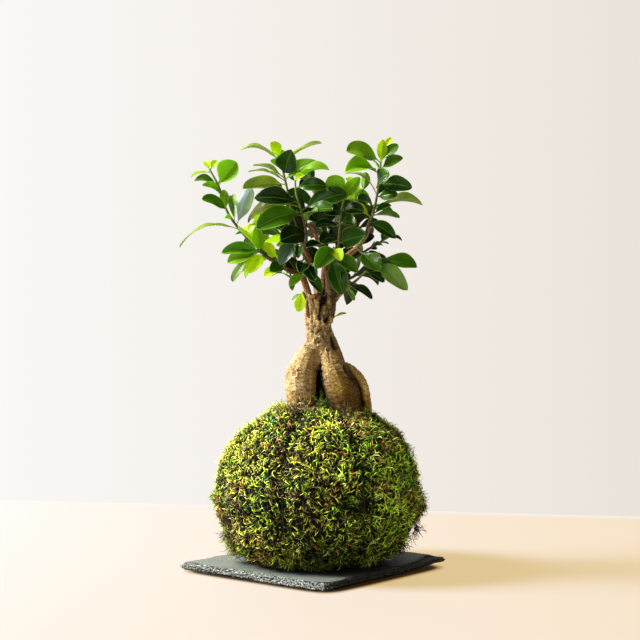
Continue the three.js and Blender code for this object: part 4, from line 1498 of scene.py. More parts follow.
def shadeWood(places, normals, facing, grains, tint):
    x, y, z = places.T
    near = fromTo(y, 4, -2)
    sides = {
        "all": np.ones(len(x)), "facing": facing, "near": near, "behind": 1 - near,
        "shaded": np.clip(0.75 * normals[:, 0] + 0.15, 0, 1),
        "toWindow": np.clip(-normals[:, 0] - 0.35, 0, 1),
    }
    for side, xRange, zRange, change in barkZones.values():
        tint *= gain(sides[side] * within(x, *xRange) * within(z, *zRange), change)
    # Painted shade in the gap between the lobes
    halfGap = lobeGapShade["half"] + lobeGapShade["wider"] * (lobeGapShade["top"] - z)
    opening = np.clip(halfGap - np.abs(x - lobeGapShade["x"]), 0, 1)
    tint *= gain(opening * within(y, *lobeGapShade["walls"]) * facing, lobeGapShade["wallShade"])
    tint *= gain(opening * fromTo(y, *lobeGapShade["behind"]) * (y < lobeGapShade["rear"]), lobeGapShade["behindShade"])
    stemSide = within(x, *youngStem["x"]) * fromTo(z, *youngStem["z"])
    mottled = youngStem["least"] + youngStem["mottling"] * noiseAt(places, (0.45, 0.45, 0.3), 61)
    tint *= 1 - stemSide[:, None] * (1 - mottled[:, None] * np.array(youngStem["shade"]))
    lipMiddle = np.interp(z, youngStem["lipZ"], youngStem["lipX"])
    lip = fromTo(np.abs(x - lipMiddle), youngStem["lipHalf"], 0) * within(z, *youngStem["lipEnds"])
    tint *= gain(lip * facing, youngStem["lipLight"])
    tint *= gain(noiseAt(places, (0.9, 0.9, 0.12), 71) * within(z, *streaks["z"]), streaks["light"])
    soiled = (clinging["top"] + clinging["uneven"] * grains["plates"] - z) / clinging["soft"]
    tint *= gain(np.clip(soiled, 0, 1), clinging["shade"])


def makeTrunk():
    wood = trunkBody()
    places, normals = pointsOf(wood) / mm, normalsOf(wood)
    grains = {name: noiseAt(places, stretch, shift) for name, (_, _, stretch, shift) in barkRelief.items()}
    height, tint = barkSurface(places, grains)
    x, z = places[:, 0], places[:, 2]
    wobble = [0.7 * noiseAt(places, (0.3, 0.3, 0.3), shift) for shift in (51, 57)]
    facing = fromTo(-normals[:, 1], 0.05, 0.35)
    carveMarks(np.stack([x + wobble[0], z + wobble[1]], 1), facing, height, tint)
    shadeWood(places, normals, facing, grains, tint)
    low, high = sawnTop["z"]
    sawn = (normals[:, 2] > sawnTop["upward"]) & (z > low) & (z < high) & (x < sawnTop["right"])
    tint[sawn] *= sawnTop["shade"]
    height[sawn] -= sawnTop["depth"] + sawnTop["depth"] * grains["plates"][sawn]
    movePoints(wood, (places + normals * height[:, None]) * mm)
    # The tint holds the bark's colour together with its painted light and shade
    paintPoints(wood, "barkTintAndShade", np.clip(tint, 0, 1.6))
    pickOnly(wood)
    bpy.ops.object.shade_smooth()
    wood.data.materials.append(barkMaterial())
    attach(wood, "root")
    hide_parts("trunk")
    print("trunk faces:", len(wood.data.polygons))


def specks(material, where, scale):
    sockets = {"Vector": where, "Scale": scale, "Randomness": 1.0}
    return node(material, "ShaderNodeTexVoronoi", sockets).outputs["Distance"]


def barkMaterial():
    material, shader = newMaterial("figBark")
    where = objectPlace(material)
    wrinkle = grain(material, objectPlace(material, (1, 1, 2.6)), 210, 6, 0.7)
    pebble = grain(material, where, 760, 5, 0.72)
    shade = ramp(material, grain(material, where, 45, 5), [
        (0.3, colour(152, 119, 66)), (0.5, colour(198, 165, 103)), (0.72, colour(230, 207, 156)),
    ])
    marks = [
        (wrinkle, [(0.34, 0.6), (0.5, 0.0)], colour(92, 66, 40)),
        (specks(material, where, 330.0), [(0.13, 0.88), (0.27, 0.0)], colour(74, 46, 22)),
        (specks(material, where, 620.0), [(0.16, 0.6), (0.32, 0.0)], colour(84, 58, 30)),
    ]
    for pattern, stops, mark in marks:
        shade = blendColours(material, ramp(material, pattern, stops), shade, mark)
    # Painted light and shade on the pebbly bark, by the same noise as its bump, and a painted pale highlight
    # on the highest bumps
    light = ramp(material, pebble, [(0.34, 0.3), (0.48, 1.0), (0.66, 1.85)])
    lit = blendColours(material, 1.0, shade, light, "MULTIPLY")
    crestHighlight = ramp(material, pebble, [(0.54, 0.0), (0.7, 0.6)])
    crestHighlighted = blendColours(material, crestHighlight, lit, colour(238, 222, 196))
    lined = bump(material, wrinkle, 0.8, 0.0018)
    coat(material, shader, {
        "Base Color": blendColours(material, 1.0, crestHighlighted, painted(material, "barkTintAndShade"), "MULTIPLY"),
        "Roughness": 0.7,
        "Specular IOR Level": 0.35,
        "Normal": bump(material, pebble, 0.75, 0.0011, lined),
    })
    return material


makeTrunk()
print("trunk made")


# Leafy shoots

# Leaf tones: each leaf's own green, and partly painted light and shade, lime and bright for lit leaves, dark
# and black for leaves in shade, silver, pale and blueGrey partly a painted sheen
tones = {
    "lime": colour(180, 208, 28),
    "bright": colour(124, 168, 18),
    "mid": colour(76, 126, 12),
    "deep": colour(40, 86, 8),
    "dark": colour(8, 48, 5),
    "black": colour(4, 27, 3),
    "sage": colour(120, 152, 80),
    "pale": colour(150, 170, 88),
    "silver": colour(172, 190, 232),
    "blueGrey": colour(78, 108, 98),
    "olive": colour(98, 102, 22),
}
stem = {
    "start": 1.3, "end": 0.75, "steps": 24, "shadeLow": colour(56, 40, 27), "shadeTop": colour(138, 148, 58),
}
clearance = {"wanted": 4.2, "least": 3.1, "sameTwig": 1.2, "spacing": 4, "twig": 1.5}
sampleRows = [0.3, 0.44, 0.58, 0.72, 0.86, 1]
sampleColumns = [-1, -0.5, 0, 0.5, 1]
turnsAside = [
    [0, 0], [0, 12], [0, -12], [12, 0], [-12, 0], [14, 14], [-14, 14], [14, -14], [-14, -14],
    [0, 26], [0, -26], [26, 0], [-26, 0], [26, 20], [-26, 20], [26, -20], [-26, -20],
    [0, 40], [0, -40], [40, 10], [-40, 10], [50, -10], [-50, -10],
]
leafForm = {
    "stalkWidth": 0.8, "stalkShare": 0.13, "widthShare": 0.5, "widestBlade": 20.5,
    "widestLate": 1.3, "roundness": 0.6, "fold": 20,
}
filler = {
    "length": 37, "lengthSpread": 8, "turn": 137.5, "firstShare": 0.28, "lastShare": 0.94,
    "openLow": 66, "openTop": 38, "openEnd": 10, "facesUp": 0.85, "facesOut": 0.5,
    "arch": 0.07, "archSpread": 0.06, "tones": ["dark", "deep", "mid", "deep"],
}
# A shoot has the leaves that were read from the photo, and fillers that grow by rule. A leaf's row:
# share up the twig, x, y, z of its tip, how far it faces the viewer, its arch, its tone
shoots = {
    "left_top": {
        "twig": [[-33.5, -13, 254], [-50.5, -13, 269.5], [-68, -15, 291.5], [-76, -14, 314], [-84, -12, 329]],
        "leaves": [
            [0.36, -108, -24, 269, 0.1, 0.16, "pale"], [0.4, -50, -6, 313, -0.75, 0.05, "silver"],
            [0.42, -66, 4, 310, 0.5, 0.05, "dark"], [0.52, -87, -32, 304, 0.55, 0.1, "mid"],
            [0.54, -72, -20, 311, 0.8, 0.08, "bright"], [0.66, -88, -26, 315, 0.55, 0.1, "bright"],
            [0.76, -96, -14, 320, 0.5, 0.14, "mid"], [0.76, -55, -18, 326, 0.85, 0.08, "bright"],
            [0.95, -101, -10, 324, 0.15, 0.08, "lime"], [0.98, -88, -10, 336, 0.6, 0.05, "lime"],
            [0.98, -78, -4, 337, 0.5, 0.05, "lime"],
        ],
        "fillers": 2,
    },
    "left_low": {
        "twig": [[-39, -17, 258], [-42, -22, 260.5], [-45, -27, 261.5]],
        "leaves": [
            [0.7, -71, -40, 260, 0.75, 0.16, "deep"], [0.5, -44, -40, 280, 0.9, 0.06, "mid"],
            [0.6, -65, -26, 237, 0.5, 0.1, "sage"], [0.2, -50, -36, 244, 0.7, 0.08, "bright"],
            [0.9, -59, -12, 274, 0.4, 0.06, "lime"],
        ],
        "fillers": 1,
    },
    "lower_left": {
        "twig": [[-19.5, -10, 246], [-24, -18, 250.5], [-28, -24, 255.5]],
        "leaves": [
            [0.4, -32, -38, 245, 0.8, 0.06, "deep"], [0.3, -39, -18, 241, 0.6, 0.06, "lime"],
            [0.9, -40, -30, 267, 0.6, 0.08, "lime"],
        ],
        "fillers": 1,
    },
    "left_front": {
        "twig": [[0, 6, 246.5], [-7, -12, 258.5], [-14, -28, 269]],
        "leaves": [
            [0.97, -23, -42, 247, 0.8, 0.12, "blueGrey"], [0.8, -8, -46, 250, 0.5, 0.1, "sage"],
            [0.6, -28, -18, 268, 0.5, 0.1, "lime"],
        ],
        "fillers": 1,
    },
    "centre_left": {
        "twig": [[-10, 5, 276.5], [-17.5, 2, 299.5], [-22, 0, 321], [-27, -2, 339]],
        "leaves": [
            [0.95, -59, 6, 350, 0.3, 0.12, "pale"], [0.98, -31, -6, 346, 0.5, 0.06, "lime"],
            [0.99, -22, 6, 346, 0.6, 0.08, "bright"], [0.74, -17, -22, 342, 0.95, 0.06, "deep"],
            [0.86, 8, 8, 353, 0.2, 0.1, "pale"], [0.68, -48, 2, 335, 0.25, 0.08, "pale"],
            [0.64, -52, -14, 328, 0.15, 0.1, "pale"], [0.6, -56, -26, 312, 0.7, 0.08, "sage"],
            [0.66, 3, -20, 334, 0.7, 0.12, "bright"],
        ],
        "fillers": 2,
    },
    "centre_front": {
        "twig": [[-5, 6, 265], [-4.5, -12, 277], [-8, -20, 293], [-12.5, -22, 307.5], [-13.5, -22, 319]],
        "leaves": [
            [0.62, -44, -38, 304, 0.75, 0.1, "dark"], [0.97, 13, -34, 328, 0.4, 0.1, "bright"],
            [0.99, -6, -34, 322, 0.8, 0.06, "lime"], [0.97, -18, -20, 322, 0.6, 0.06, "dark"],
            [0.85, 11, -32, 314, 0.75, 0.1, "deep"], [0.5, -43, -44, 280, 0.75, 0.1, "mid"],
            [0.56, -53, -12, 287, 0.45, 0.2, "olive"], [0.52, 28, -28, 308, 0.65, 0.08, "deep"],
            [0.42, 16, -42, 295, 0.5, 0.08, "deep"], [0.34, 5, -54, 293, 0.45, 0.06, "sage"],
            [0.22, -23, -46, 270, 0.8, 0.06, "dark"],
        ],
        "fillers": 2,
    },
    "centre_right": {
        "twig": [[21, -1, 247], [22.5, -10, 270.5], [24, -15, 291.5], [27, -16, 306.5]],
        "leaves": [
            [0.97, 13, -28, 317, 0.65, 0.1, "dark"], [0.95, 41, -26, 315, 0.9, 0.08, "bright"],
            [0.93, 38, 4, 305, 0.8, 0.05, "lime"], [0.7, 13, -38, 292, 0.85, 0.08, "dark"],
            [0.72, 41, -34, 294, 0.7, 0.08, "dark"], [0.5, 34, -40, 283, 0.7, 0.1, "deep"],
            [0.5, 4, -24, 283, 0.5, 0.08, "dark"], [0.3, 43, -42, 273, 0.9, 0.06, "deep"],
            [0.35, 8, -36, 269, 0.6, 0.08, "dark"],
        ],
        "fillers": 2,
    },
    "right_top": {
        "twig": [[47.5, 4, 282.5], [52.5, 4, 300], [56, 2, 321], [57.5, 0, 341]],
        "leaves": [
            [0.9, 29, -14, 343, 0.85, 0.1, "bright"], [0.74, 28, -20, 325, 0.8, 0.12, "mid"],
            [0.99, 66, 2, 357, 0.5, 0.04, "lime"], [0.93, 71, -4, 350, 0.7, 0.06, "mid"],
            [0.82, 75, -10, 336, 0.75, 0.05, "mid"], [0.46, 29, 12, 329, 0.1, 0.18, "pale"],
            [0.62, 81, -14, 314, 0.85, 0.1, "deep"], [0.58, 60, -30, 323, 0.8, 0.08, "deep"],
            [0.28, 91, -6, 301, 0.35, 0.12, "pale"], [0.26, 39, -20, 305, 0.6, 0.08, "deep"],
        ],
        "fillers": 2,
    },
    "right_mid": {
        "twig": [[45, 3, 275], [46.5, -7, 284], [50.5, -12, 292]],
        "leaves": [
            [0.6, 69, -26, 272, 0.8, 0.08, "deep"], [0.9, 72, -14, 291, 0.5, 0.1, "sage"],
            [0.98, 65, -10, 300, 0.55, 0.06, "deep"], [0.8, 32, -8, 300, 0.5, 0.08, "lime"],
        ],
        "fillers": 1,
    },
    "right_low": {
        "twig": [[37.5, 3, 265], [44.5, -6, 257.5], [52, -10, 253.5]],
        "leaves": [
            [1, 87, -8, 248, 0.8, 0.06, "deep"], [0.98, 77, -34, 230, 0.85, 0.08, "deep"],
            [0.95, 76, -22, 246, 0.6, 0.08, "deep"], [0.3, 54, -32, 245, 0.75, 0.06, "mid"],
            [0.5, 64, 12, 264, 0.3, 0.08, "dark"],
        ],
        "fillers": 1,
    },
    "right_twig": {
        "twig": [[32.5, -8, 234], [36.5, -9, 237.5], [40, -10, 240.5], [44.5, -12, 245]],
        "leaves": [[1, 59, -20, 237, 0.6, 0.06, "dark"], [0.95, 62, -4, 243, 0.5, 0.08, "dark"]],
    },
    "low_right": {
        "twig": [[26.5, -5, 229.5], [28, -11, 232], [29.5, -17, 235]],
        "leaves": [
            [0.8, 49, -26, 224, 0.5, 0.1, "dark"], [0.6, 36, -18, 220, 0.6, 0.06, "sage"],
            [0.9, 23, -34, 244, 0.8, 0.06, "dark"],
        ],
    },
    "front_low": {
        "twig": [[11.5, -8, 252.5], [15.5, -24, 258.5], [18, -34, 263.5]],
        "leaves": [
            [1, 3, -56, 246, 0.95, 0.08, "mid"], [0.9, 23, -50, 254, 0.7, 0.06, "lime"],
            [0.4, 25, -34, 227, 0.75, 0.06, "deep"], [0.5, 37, -34, 245, 0.7, 0.08, "mid"],
        ],
        "fillers": 1,
    },
    "front_left_low": {
        "twig": [[-7, -6, 239], [-5.5, -18, 245], [-5.5, -28, 252]],
        "leaves": [
            [0.95, -9, -50, 243, 0.85, 0.06, "dark"], [0.9, 2, -48, 238, 0.8, 0.06, "dark"],
            [0.35, -18, -22, 234, 0.7, 0.06, "bright"], [0.5, 8, -30, 228, 0.7, 0.06, "deep"],
        ],
        "fillers": 1,
    },
    "trunk_left": {
        "twig": [[-4, -2, 221.5], [-7.5, -7, 228.5]],
        "leaves": [[1, -11, -12, 212, 0.85, 0.05, "lime"], [0.8, -21, -8, 226, -0.5, 0.06, "silver"]],
    },
    "trunk_right": {
        "twig": [[15, -3, 205], [18.5, -1, 207.5]],
        "leaves": [[1, 31, 4, 211, 0.35, 0.08, "lime"]],
    },
    "back_top": {"twig": [[11, 24.5, 257], [8, 29, 286], [1, 28, 318]], "fillers": 8},
    "middle_left": {"twig": [[-2, 6, 254], [-8, 17, 266], [-13, 22, 282]], "fillers": 5},
    "middle_right": {"twig": [[10.2, 18, 245], [18, 20, 259], [23, 21, 276]], "fillers": 5},
    "back_top_right": {"twig": [[28.5, 21.5, 249.5], [36, 28, 282], [43, 25, 313]], "fillers": 8},
    "back_top_left": {"twig": [[-11, 22, 247.5], [-21, 27, 276], [-34, 26, 306]], "fillers": 8},
    "back_left_side": {"twig": [[-14.5, 27.5, 253.5], [-31, 36, 264], [-49, 36, 274]], "fillers": 6},
    "back_right_side": {"twig": [[33, 26.5, 255.5], [49, 34, 266], [66, 32, 276]], "fillers": 6},
    "back_middle": {"twig": [[10.3, 19.5, 248], [13, 38, 267], [12, 53, 289]], "fillers": 6},
    "back_low_left": {"twig": [[-6, 16, 239.5], [-15, 33, 240], [-24, 46, 245]], "fillers": 5},
    "back_low_right": {"twig": [[22.5, 14, 240], [32, 30, 240], [42, 43, 246]], "fillers": 5},
}


# Leaves that look another way than their row or rule says, by shoot and number
leafLooks = {
    # The black and dark tones of the leaves inside the crown are painted shade
    "tone": {
        "left_top": {2: "sage", 11: "bright", 12: "bright"},
        "left_low": {0: "mid", 1: "bright", 3: "lime"},
        "lower_left": {3: "lime"},
        "left_front": {1: "deep", 2: "lime"},
        "centre_left": {7: "pale", 10: "bright"},
        "centre_front": {11: "dark", 12: "black"},
        "right_top": {1: "bright", 11: "bright"},
        "right_low": {0: "mid", 1: "sage"},
        "front_low": {4: "dark"},
        "back_top": {0: "black", 1: "dark", 5: "bright"},
        "middle_left": {0: "lime", 1: "black", 3: "dark", 4: "black"},
        "middle_right": {0: "black", 1: "black", 2: "dark", 3: "dark"},
        "back_top_right": {0: "black", 1: "dark", 4: "bright", 6: "lime", 7: "bright"},
        "back_top_left": {1: "dark", 3: "lime", 5: "lime"},
        "back_left_side": {0: "lime", 4: "lime"},
        "back_right_side": {1: "black"},
        "back_middle": {0: "black", 1: "black", 2: "dark"},
        "back_low_left": {2: "dark"},
        "back_low_right": {3: "dark"},
    },
    "long": {
        "left_top": {11: 0.4, 12: 0.25},
        "left_low": {5: 0.4},
        "lower_left": {3: 0.35},
        "centre_left": {9: 0.3, 10: 0.6},
        "centre_front": {11: 0.6, 12: 0.8},
        "right_top": {10: 0.6, 11: 0.4},
        "right_mid": {0: 0.93},
        "right_low": {1: 0.94, 2: 0.55, 4: 0.6, 5: 0.5},
        "front_low": {4: 0.7},
        "back_top": {5: 0.7, 7: 0.5},
        "back_top_right": {2: 0.7, 4: 0.75, 5: 0.8, 6: 0.8, 7: 0.5},
        "back_top_left": {3: 0.8, 4: 0.9, 5: 0.65, 6: 0.3},
        "back_left_side": {3: 0.6, 5: 0.45},
        "back_right_side": {0: 0.7, 1: 0.4, 2: 0.35, 3: 0.35, 4: 0.4, 5: 0.35},
        "back_low_left": {1: 0.35, 4: 0.4},
        "back_low_right": {3: 0.6},
    },
    "wide": {
        "left_top": {0: 0.38, 1: 0.72, 2: 0.6, 7: 1.9, 8: 0.9, 9: 1.5},
        "left_low": {0: 0.8, 2: 0.6, 3: 1.2, 4: 1.4},
        "left_front": {0: 1.15, 1: 0.8},
        "centre_left": {0: 0.5, 1: 1.4, 3: 1.5, 4: 0.45, 5: 0.6, 6: 0.45, 7: 0.75, 8: 0.8},
        "centre_front": {9: 0.8},
        "centre_right": {1: 1.3},
        "right_top": {0: 1.5, 1: 1.25, 2: 0.7, 4: 1.1, 5: 0.35, 8: 0.75},
        "right_mid": {1: 0.7},
        "right_low": {0: 0.9, 1: 0.8},
        "low_right": {0: 0.7, 1: 0.65},
        "front_low": {0: 1.1},
        "trunk_left": {0: 1.1, 1: 0.7},
        "trunk_right": {0: 0.6},
    },
    "tip": {
        "left_top": {7: (-61.5, -18, 334), 8: (-99.5, -11, 323)},
        "left_low": {4: (-57, -10, 283)},
        "left_front": {0: (-25, -42, 251), 1: (-11, -44, 255)},
        "centre_left": {1: (-33, -6, 352), 6: (-51.5, -14, 328)},
        "centre_front": {9: (4, -38, 294)},
        "centre_right": {0: (14, -28, 311), 1: (38.4, -26, 320)},
        "right_top": {0: (29, -14, 345), 1: (28.5, -20, 328), 4: (74, -8, 339)},
        "right_low": {0: (87, -8, 250)},
        "low_right": {1: (35, -18, 221.5)},
        "front_low": {0: (4, -56, 248)},
        "trunk_left": {1: (-17, -8, 222)},
        "trunk_right": {0: (28.5, 4, 210.5)},
    },
    "face": {"right_top": {0: 0.5, 1: 0.5}, "right_low": {0: 0.6}},
    "droop": {"left_top": {7: 0.4}, "trunk_left": {0: 0.3}, "trunk_right": {0: 0}},
    "arch": {"trunk_right": {0: 0.04}},
}
# More leaves, most of them in the shade of the crown and painted black or dark for it, in the same kind of
# row with the width at its end
innerLeaves = {
    "middle_right": [[0.1, -4, 12, 266, 0.9, 0.05, "black", 1], [0.5, 40, 14, 262, 0.9, 0.06, "dark", 1]],
    "middle_left": [[0.05, 3, 10, 260, 0.85, 0.05, "black", 1], [0.6, -26, 10, 262, 0.85, 0.06, "dark", 1]],
    "back_low_right": [[0.1, 34, 12, 256, 0.8, 0.05, "dark", 1]],
    "back_low_left": [[0.1, -22, 12, 258, 0.8, 0.05, "black", 1]],
    "back_top": [[0.5, -6, 22, 300, 0.85, 0.06, "dark", 1], [0.2, 28, 20, 286, 0.85, 0.06, "black", 1]],
    "back_top_right": [[0.3, 52, 18, 276, 0.85, 0.06, "black", 1]],
    "back_top_left": [[0.4, -8, 20, 284, 0.85, 0.06, "black", 1]],
    "centre_right": [[0.98, 13.5, -26, 320.5, 0.9, 0.08, "bright", 1.6]],
    "centre_left": [[0.35, -36.5, 10, 300.5, 0.8, 0.06, "lime", 1.1]],
    "left_low": [[0.6, -67, -34, 252.5, 0.8, 0.08, "bright", 1]],
    "right_top": [
        [0.45, 70, -12, 308, 0.8, 0.06, "deep", 1], [0.9, 58.5, -8, 353.5, 0.8, 0.05, "lime", 0.95],
    ],
}


def lookOf(name, number):
    rows = {kind: table.get(name, {}) for kind, table in leafLooks.items()}
    return {kind: row[number] for kind, row in rows.items() if number in row}


def one(vector):
    return vector / np.linalg.norm(vector)


def squareTo(direction):
    axis = np.zeros(3)
    axis[int(np.argmin(np.abs(direction)))] = 1
    return one(axis - direction * (axis @ direction))


def facingLeaf(base, heading, facing, length, arch):
    facing = one(facing - heading * (facing @ heading))
    return {"base": base, "heading": heading, "facing": facing, "length": length, "arch": arch}


def leafTo(base, tip, face, arch):
    length = np.linalg.norm(tip - base)
    heading = (tip - base) / length
    return facingLeaf(base, heading, np.array([0, -face, 1 - abs(face)]), length, arch)


def halfWidth(length, along):
    form = leafForm
    share = np.maximum(0, (along - form["stalkShare"]) / (1 - form["stalkShare"])) ** form["widestLate"]
    width = min(form["widestBlade"], form["widthShare"] * length)
    swell = np.maximum(0, np.sin(math.pi * share)) ** form["roundness"]
    return np.maximum(form["stalkWidth"], width * swell) / 2


def leafPoints(leaf, along, across, height=0.0):
    half = halfWidth(leaf["length"], along)
    lean = math.radians(leafForm["fold"])
    rise = leaf["length"] * leaf["arch"] * 4 * along * (1 - along) + half * np.abs(across) * math.sin(lean)
    side = np.cross(leaf["heading"], leaf["facing"])
    return (
        leaf["base"]
        + (leaf["length"] * along)[:, None] * leaf["heading"]
        + (rise + height)[:, None] * leaf["facing"]
        + (half * across * math.cos(lean))[:, None] * side
    )


def turnedLeaf(leaf, sideways, upwards):
    yaw, pitch = math.radians(sideways), math.radians(upwards)
    side = np.cross(leaf["heading"], leaf["facing"])
    level = leaf["heading"] * math.cos(yaw) + side * math.sin(yaw)
    heading = level * math.cos(pitch) + leaf["facing"] * math.sin(pitch)
    facing = leaf["facing"] * math.cos(pitch) - level * math.sin(pitch)
    return {**leaf, "heading": heading, "facing": facing}


def leafSamples(leaf):
    along, across = np.meshgrid(sampleRows, sampleColumns, indexing="ij")
    return leafPoints(leaf, along.ravel(), across.ravel().astype(float))


taken = {"at": [], "radius": [], "owner": [], "wood": []}


def take(places, radius, owner, isWood):
    for place, thick in zip(places, radius):
        taken["at"].append(place)
        taken["radius"].append(thick)
        taken["owner"].append(owner)
        taken["wood"].append(isWood)


def takeCurve(path, radiusAt, owner):
    steps = np.array(finePath(path, 201))
    length = np.linalg.norm(np.diff(steps, axis=0), axis=1).sum()
    shares = np.linspace(0, 1, math.ceil(length / clearance["spacing"]) + 1)
    take([curvePoint(path, share) for share in shares], [radiusAt(share) for share in shares], owner, True)


def roomRound(samples, owner):
    own = np.array([name == owner for name in taken["owner"]])
    counted = ~(own & np.array(taken["wood"]))
    reach = np.array(taken["radius"]) - np.where(own, clearance["sameTwig"], 0)
    gaps = np.linalg.norm(np.array(taken["at"])[counted][None] - samples[:, None], axis=2)
    return float((gaps - reach[counted]).min())


def settledLeaf(leaf, owner):
    best = (-math.inf, None, None)
    for sideways, upwards in turnsAside:
        tried = turnedLeaf(leaf, sideways, upwards)
        samples = leafSamples(tried)
        room = roomRound(samples, owner)
        if room > best[0]:
            best = (room, tried, samples)
        if room >= clearance["wanted"]:
            break
    if best[0] < clearance["least"]:
        return None
    take(best[2], [0] * len(best[2]), owner, False)
    return best[1]


def fillerLeaf(path, number, count, seed):
    atEnd = number == count - 1 and count > 2
    rule = filler
    reach = rule["lastShare"] - rule["firstShare"]
    share = 1 if atEnd else rule["firstShare"] + reach * (number + 0.5) / count
    along = curveWay(path, share)
    across = squareTo(along)
    up = np.cross(along, across)
    turn = math.radians(rule["turn"] * number + 360 * draw(seed))
    onTwig = rule["openLow"] + (rule["openTop"] - rule["openLow"]) * share
    opened = math.radians(rule["openEnd"] if atEnd else onTwig)
    base = curvePoint(path, share)
    spread = across * math.cos(turn) + up * math.sin(turn)
    heading = along * math.cos(opened) + spread * math.sin(opened)
    length = rule["length"] + rule["lengthSpread"] * (draw(seed + number + 0.5) - 0.5)
    outward = one(np.array([base[0] - ball["x"], base[1], 0]))
    facing = np.array([0, 0, rule["facesUp"]]) + outward * rule["facesOut"]
    arch = rule["arch"] + rule["archSpread"] * draw(seed + 2 * number)
    return facingLeaf(base, heading, facing, length, arch)


def settleAllLeaves():
    for name, limb in {**roots, **limbs}.items():
        takeCurve(limb["path"], lambda share, limb=limb: limbRadius(limb, share), name)
    for name, shoot in shoots.items():
        takeCurve(shoot["twig"], lambda share: clearance["twig"], name)
    leaves = {name: [] for name in shoots}
    for name, shoot in shoots.items():
        for number, (share, x, y, z, face, arch, tone) in enumerate(shoot.get("leaves", [])):
            base = curvePoint(shoot["twig"], share)
            settledLeaf(leafTo(base, np.array([x, y, z], float), face, arch), name)
            look = lookOf(name, number)
            tip = np.array(look.get("tip", (x, y, z)), float)
            leaves[name].append((leafTo(base, tip, look.get("face", face), look.get("arch", arch)), tone))
    for place, (name, shoot) in enumerate(shoots.items()):
        count = shoot.get("fillers", 0)
        for number in range(count):
            leaf = settledLeaf(fillerLeaf(shoot["twig"], number, count, 10 * place + 3), name)
            tone = filler["tones"][int(len(filler["tones"]) * draw(place + 7 * number + 0.3))]
            if leaf:
                leaves[name].append((leaf, tone))
    for name, rows in innerLeaves.items():
        for share, x, y, z, face, arch, tone, wide in rows:
            leaf = leafTo(curvePoint(shoots[name]["twig"], share), np.array([x, y, z], float), face, arch)
            leaves[name].append(({**leaf, "wide": wide}, tone))
    return leaves


def leafTopMaterial():
    top, shader = newMaterial("leafTop")
    parts = partsOf(top, node(top, "ShaderNodeUVMap").outputs["UV"])
    offside = sums(top, "ABSOLUTE", sums(top, "SUBTRACT", parts["X"], 0.5), 0.0)
    midrib = ramp(top, offside, [(0.0, 1.0), (0.035, 0.0)])
    slant = sums(top, "SUBTRACT", parts["Y"], sums(top, "MULTIPLY", offside, 0.55))
    along = node(top, "ShaderNodeCombineXYZ", {"X": slant}).outputs["Vector"]
    sockets = {"Vector": along, "Scale": 4.2, "Distortion": 0.6, "Detail": 1.0}
    waves = node(top, "ShaderNodeTexWave", sockets, wave_type="BANDS").outputs["Fac"]
    veins = ramp(top, waves, [(0.86, 0.0), (0.99, 1.0)])
    mottled = grain(top, objectPlace(top), 130, 4)
    warmer = ramp(top, mottled, [(0.4, 0.0), (0.7, 0.3)])
    shade = blendColours(top, warmer, painted(top, "leafColour"), (1, 1, 0.3), "OVERLAY")
    lines = [
        (sums(top, "MULTIPLY", veins, 0.07), colour(190, 215, 110)),
        (sums(top, "MULTIPLY", midrib, 0.5), colour(176, 205, 90)),
        # Painted highlight: a pale rim along the leaf's edge
        (ramp(top, offside, [(0.45, 0.0), (0.49, 0.6)]), colour(172, 200, 96)),
    ]
    for share, line in lines:
        shade = blendColours(top, share, shade, line)
    coat(top, shader, {
        "Base Color": shade,
        "Roughness": ramp(top, mottled, [(0.3, 0.24), (0.7, 0.38)]),
        "Specular IOR Level": 0.25,
        "Normal": bump(top, sums(top, "ADD", veins, midrib), -0.25, 0.0005),
    })
    letThrough(top, shader, blendColours(top, 1.0, shade, (2.1, 2.0, 0.45), "MULTIPLY"), 0.36)
    return top


def leafUnderMaterial():
    under, shader = newMaterial("leafUnder")
    paler = blendColours(under, 0.13, painted(under, "leafColour"), colour(136, 168, 78))
    coat(under, shader, {"Base Color": paler, "Roughness": 0.5, "Specular IOR Level": 0.25})
    letThrough(under, shader, blendColours(under, 1.0, paler, (1.8, 1.8, 0.6), "MULTIPLY"), 0.4)
    return under


def twigMaterial():
    twig, shader = newMaterial("youngTwig")
    spots = ramp(twig, grain(twig, objectPlace(twig), 700, 4), [(0.4, 0.0), (0.6, 0.5)])
    shade = blendColours(twig, spots, painted(twig, "leafColour"), colour(40, 30, 18))
    coat(twig, shader, {"Base Color": shade, "Roughness": 0.6})
    return twig


blade = {
    "across": 8, "along": 20, "stalkRows": 2, "thickness": 0.38, "stalkThickness": 0.9,
    "onBlade": 0.1, "groove": 0.35, "grooveWidth": 0.16,
    "wave": 0.05, "wavesAlong": 9, "wavesAcross": 2.2, "phases": 6.28,
    "fullWave": 30, "softFold": 1.35, "foldMore": 6, "foldSpread": 32, "baseEnd": 0.78, "tipEnd": 0.46,
    "edgeLeast": 0.06, "droop": 0.16, "droopFrom": 0.55, "lightSpread": 0.3, "smoothTurn": 60,
}


def bladeRow(row):
    first = blade["stalkRows"] / blade["along"]
    onward = np.clip((row - first) / (1 - first), 0, 1)
    share = leafForm["stalkShare"]
    onBlade = share + (1 - share) * (1 - np.cos(math.pi * onward)) / 2
    return np.where(row < first, row / first * share, onBlade)


def bladeHalf(length, along):
    form = leafForm
    share = np.clip((along - form["stalkShare"]) / (1 - form["stalkShare"]), 0, 1)
    ends = blade["baseEnd"] + (blade["tipEnd"] - blade["baseEnd"]) * share
    swell = np.maximum(0, np.sin(math.pi * share ** form["widestLate"])) ** ends
    least = np.where(share > 0.5, blade["edgeLeast"], form["stalkWidth"] / 2)
    return np.maximum(least, min(form["widestBlade"], form["widthShare"] * length) / 2 * swell)


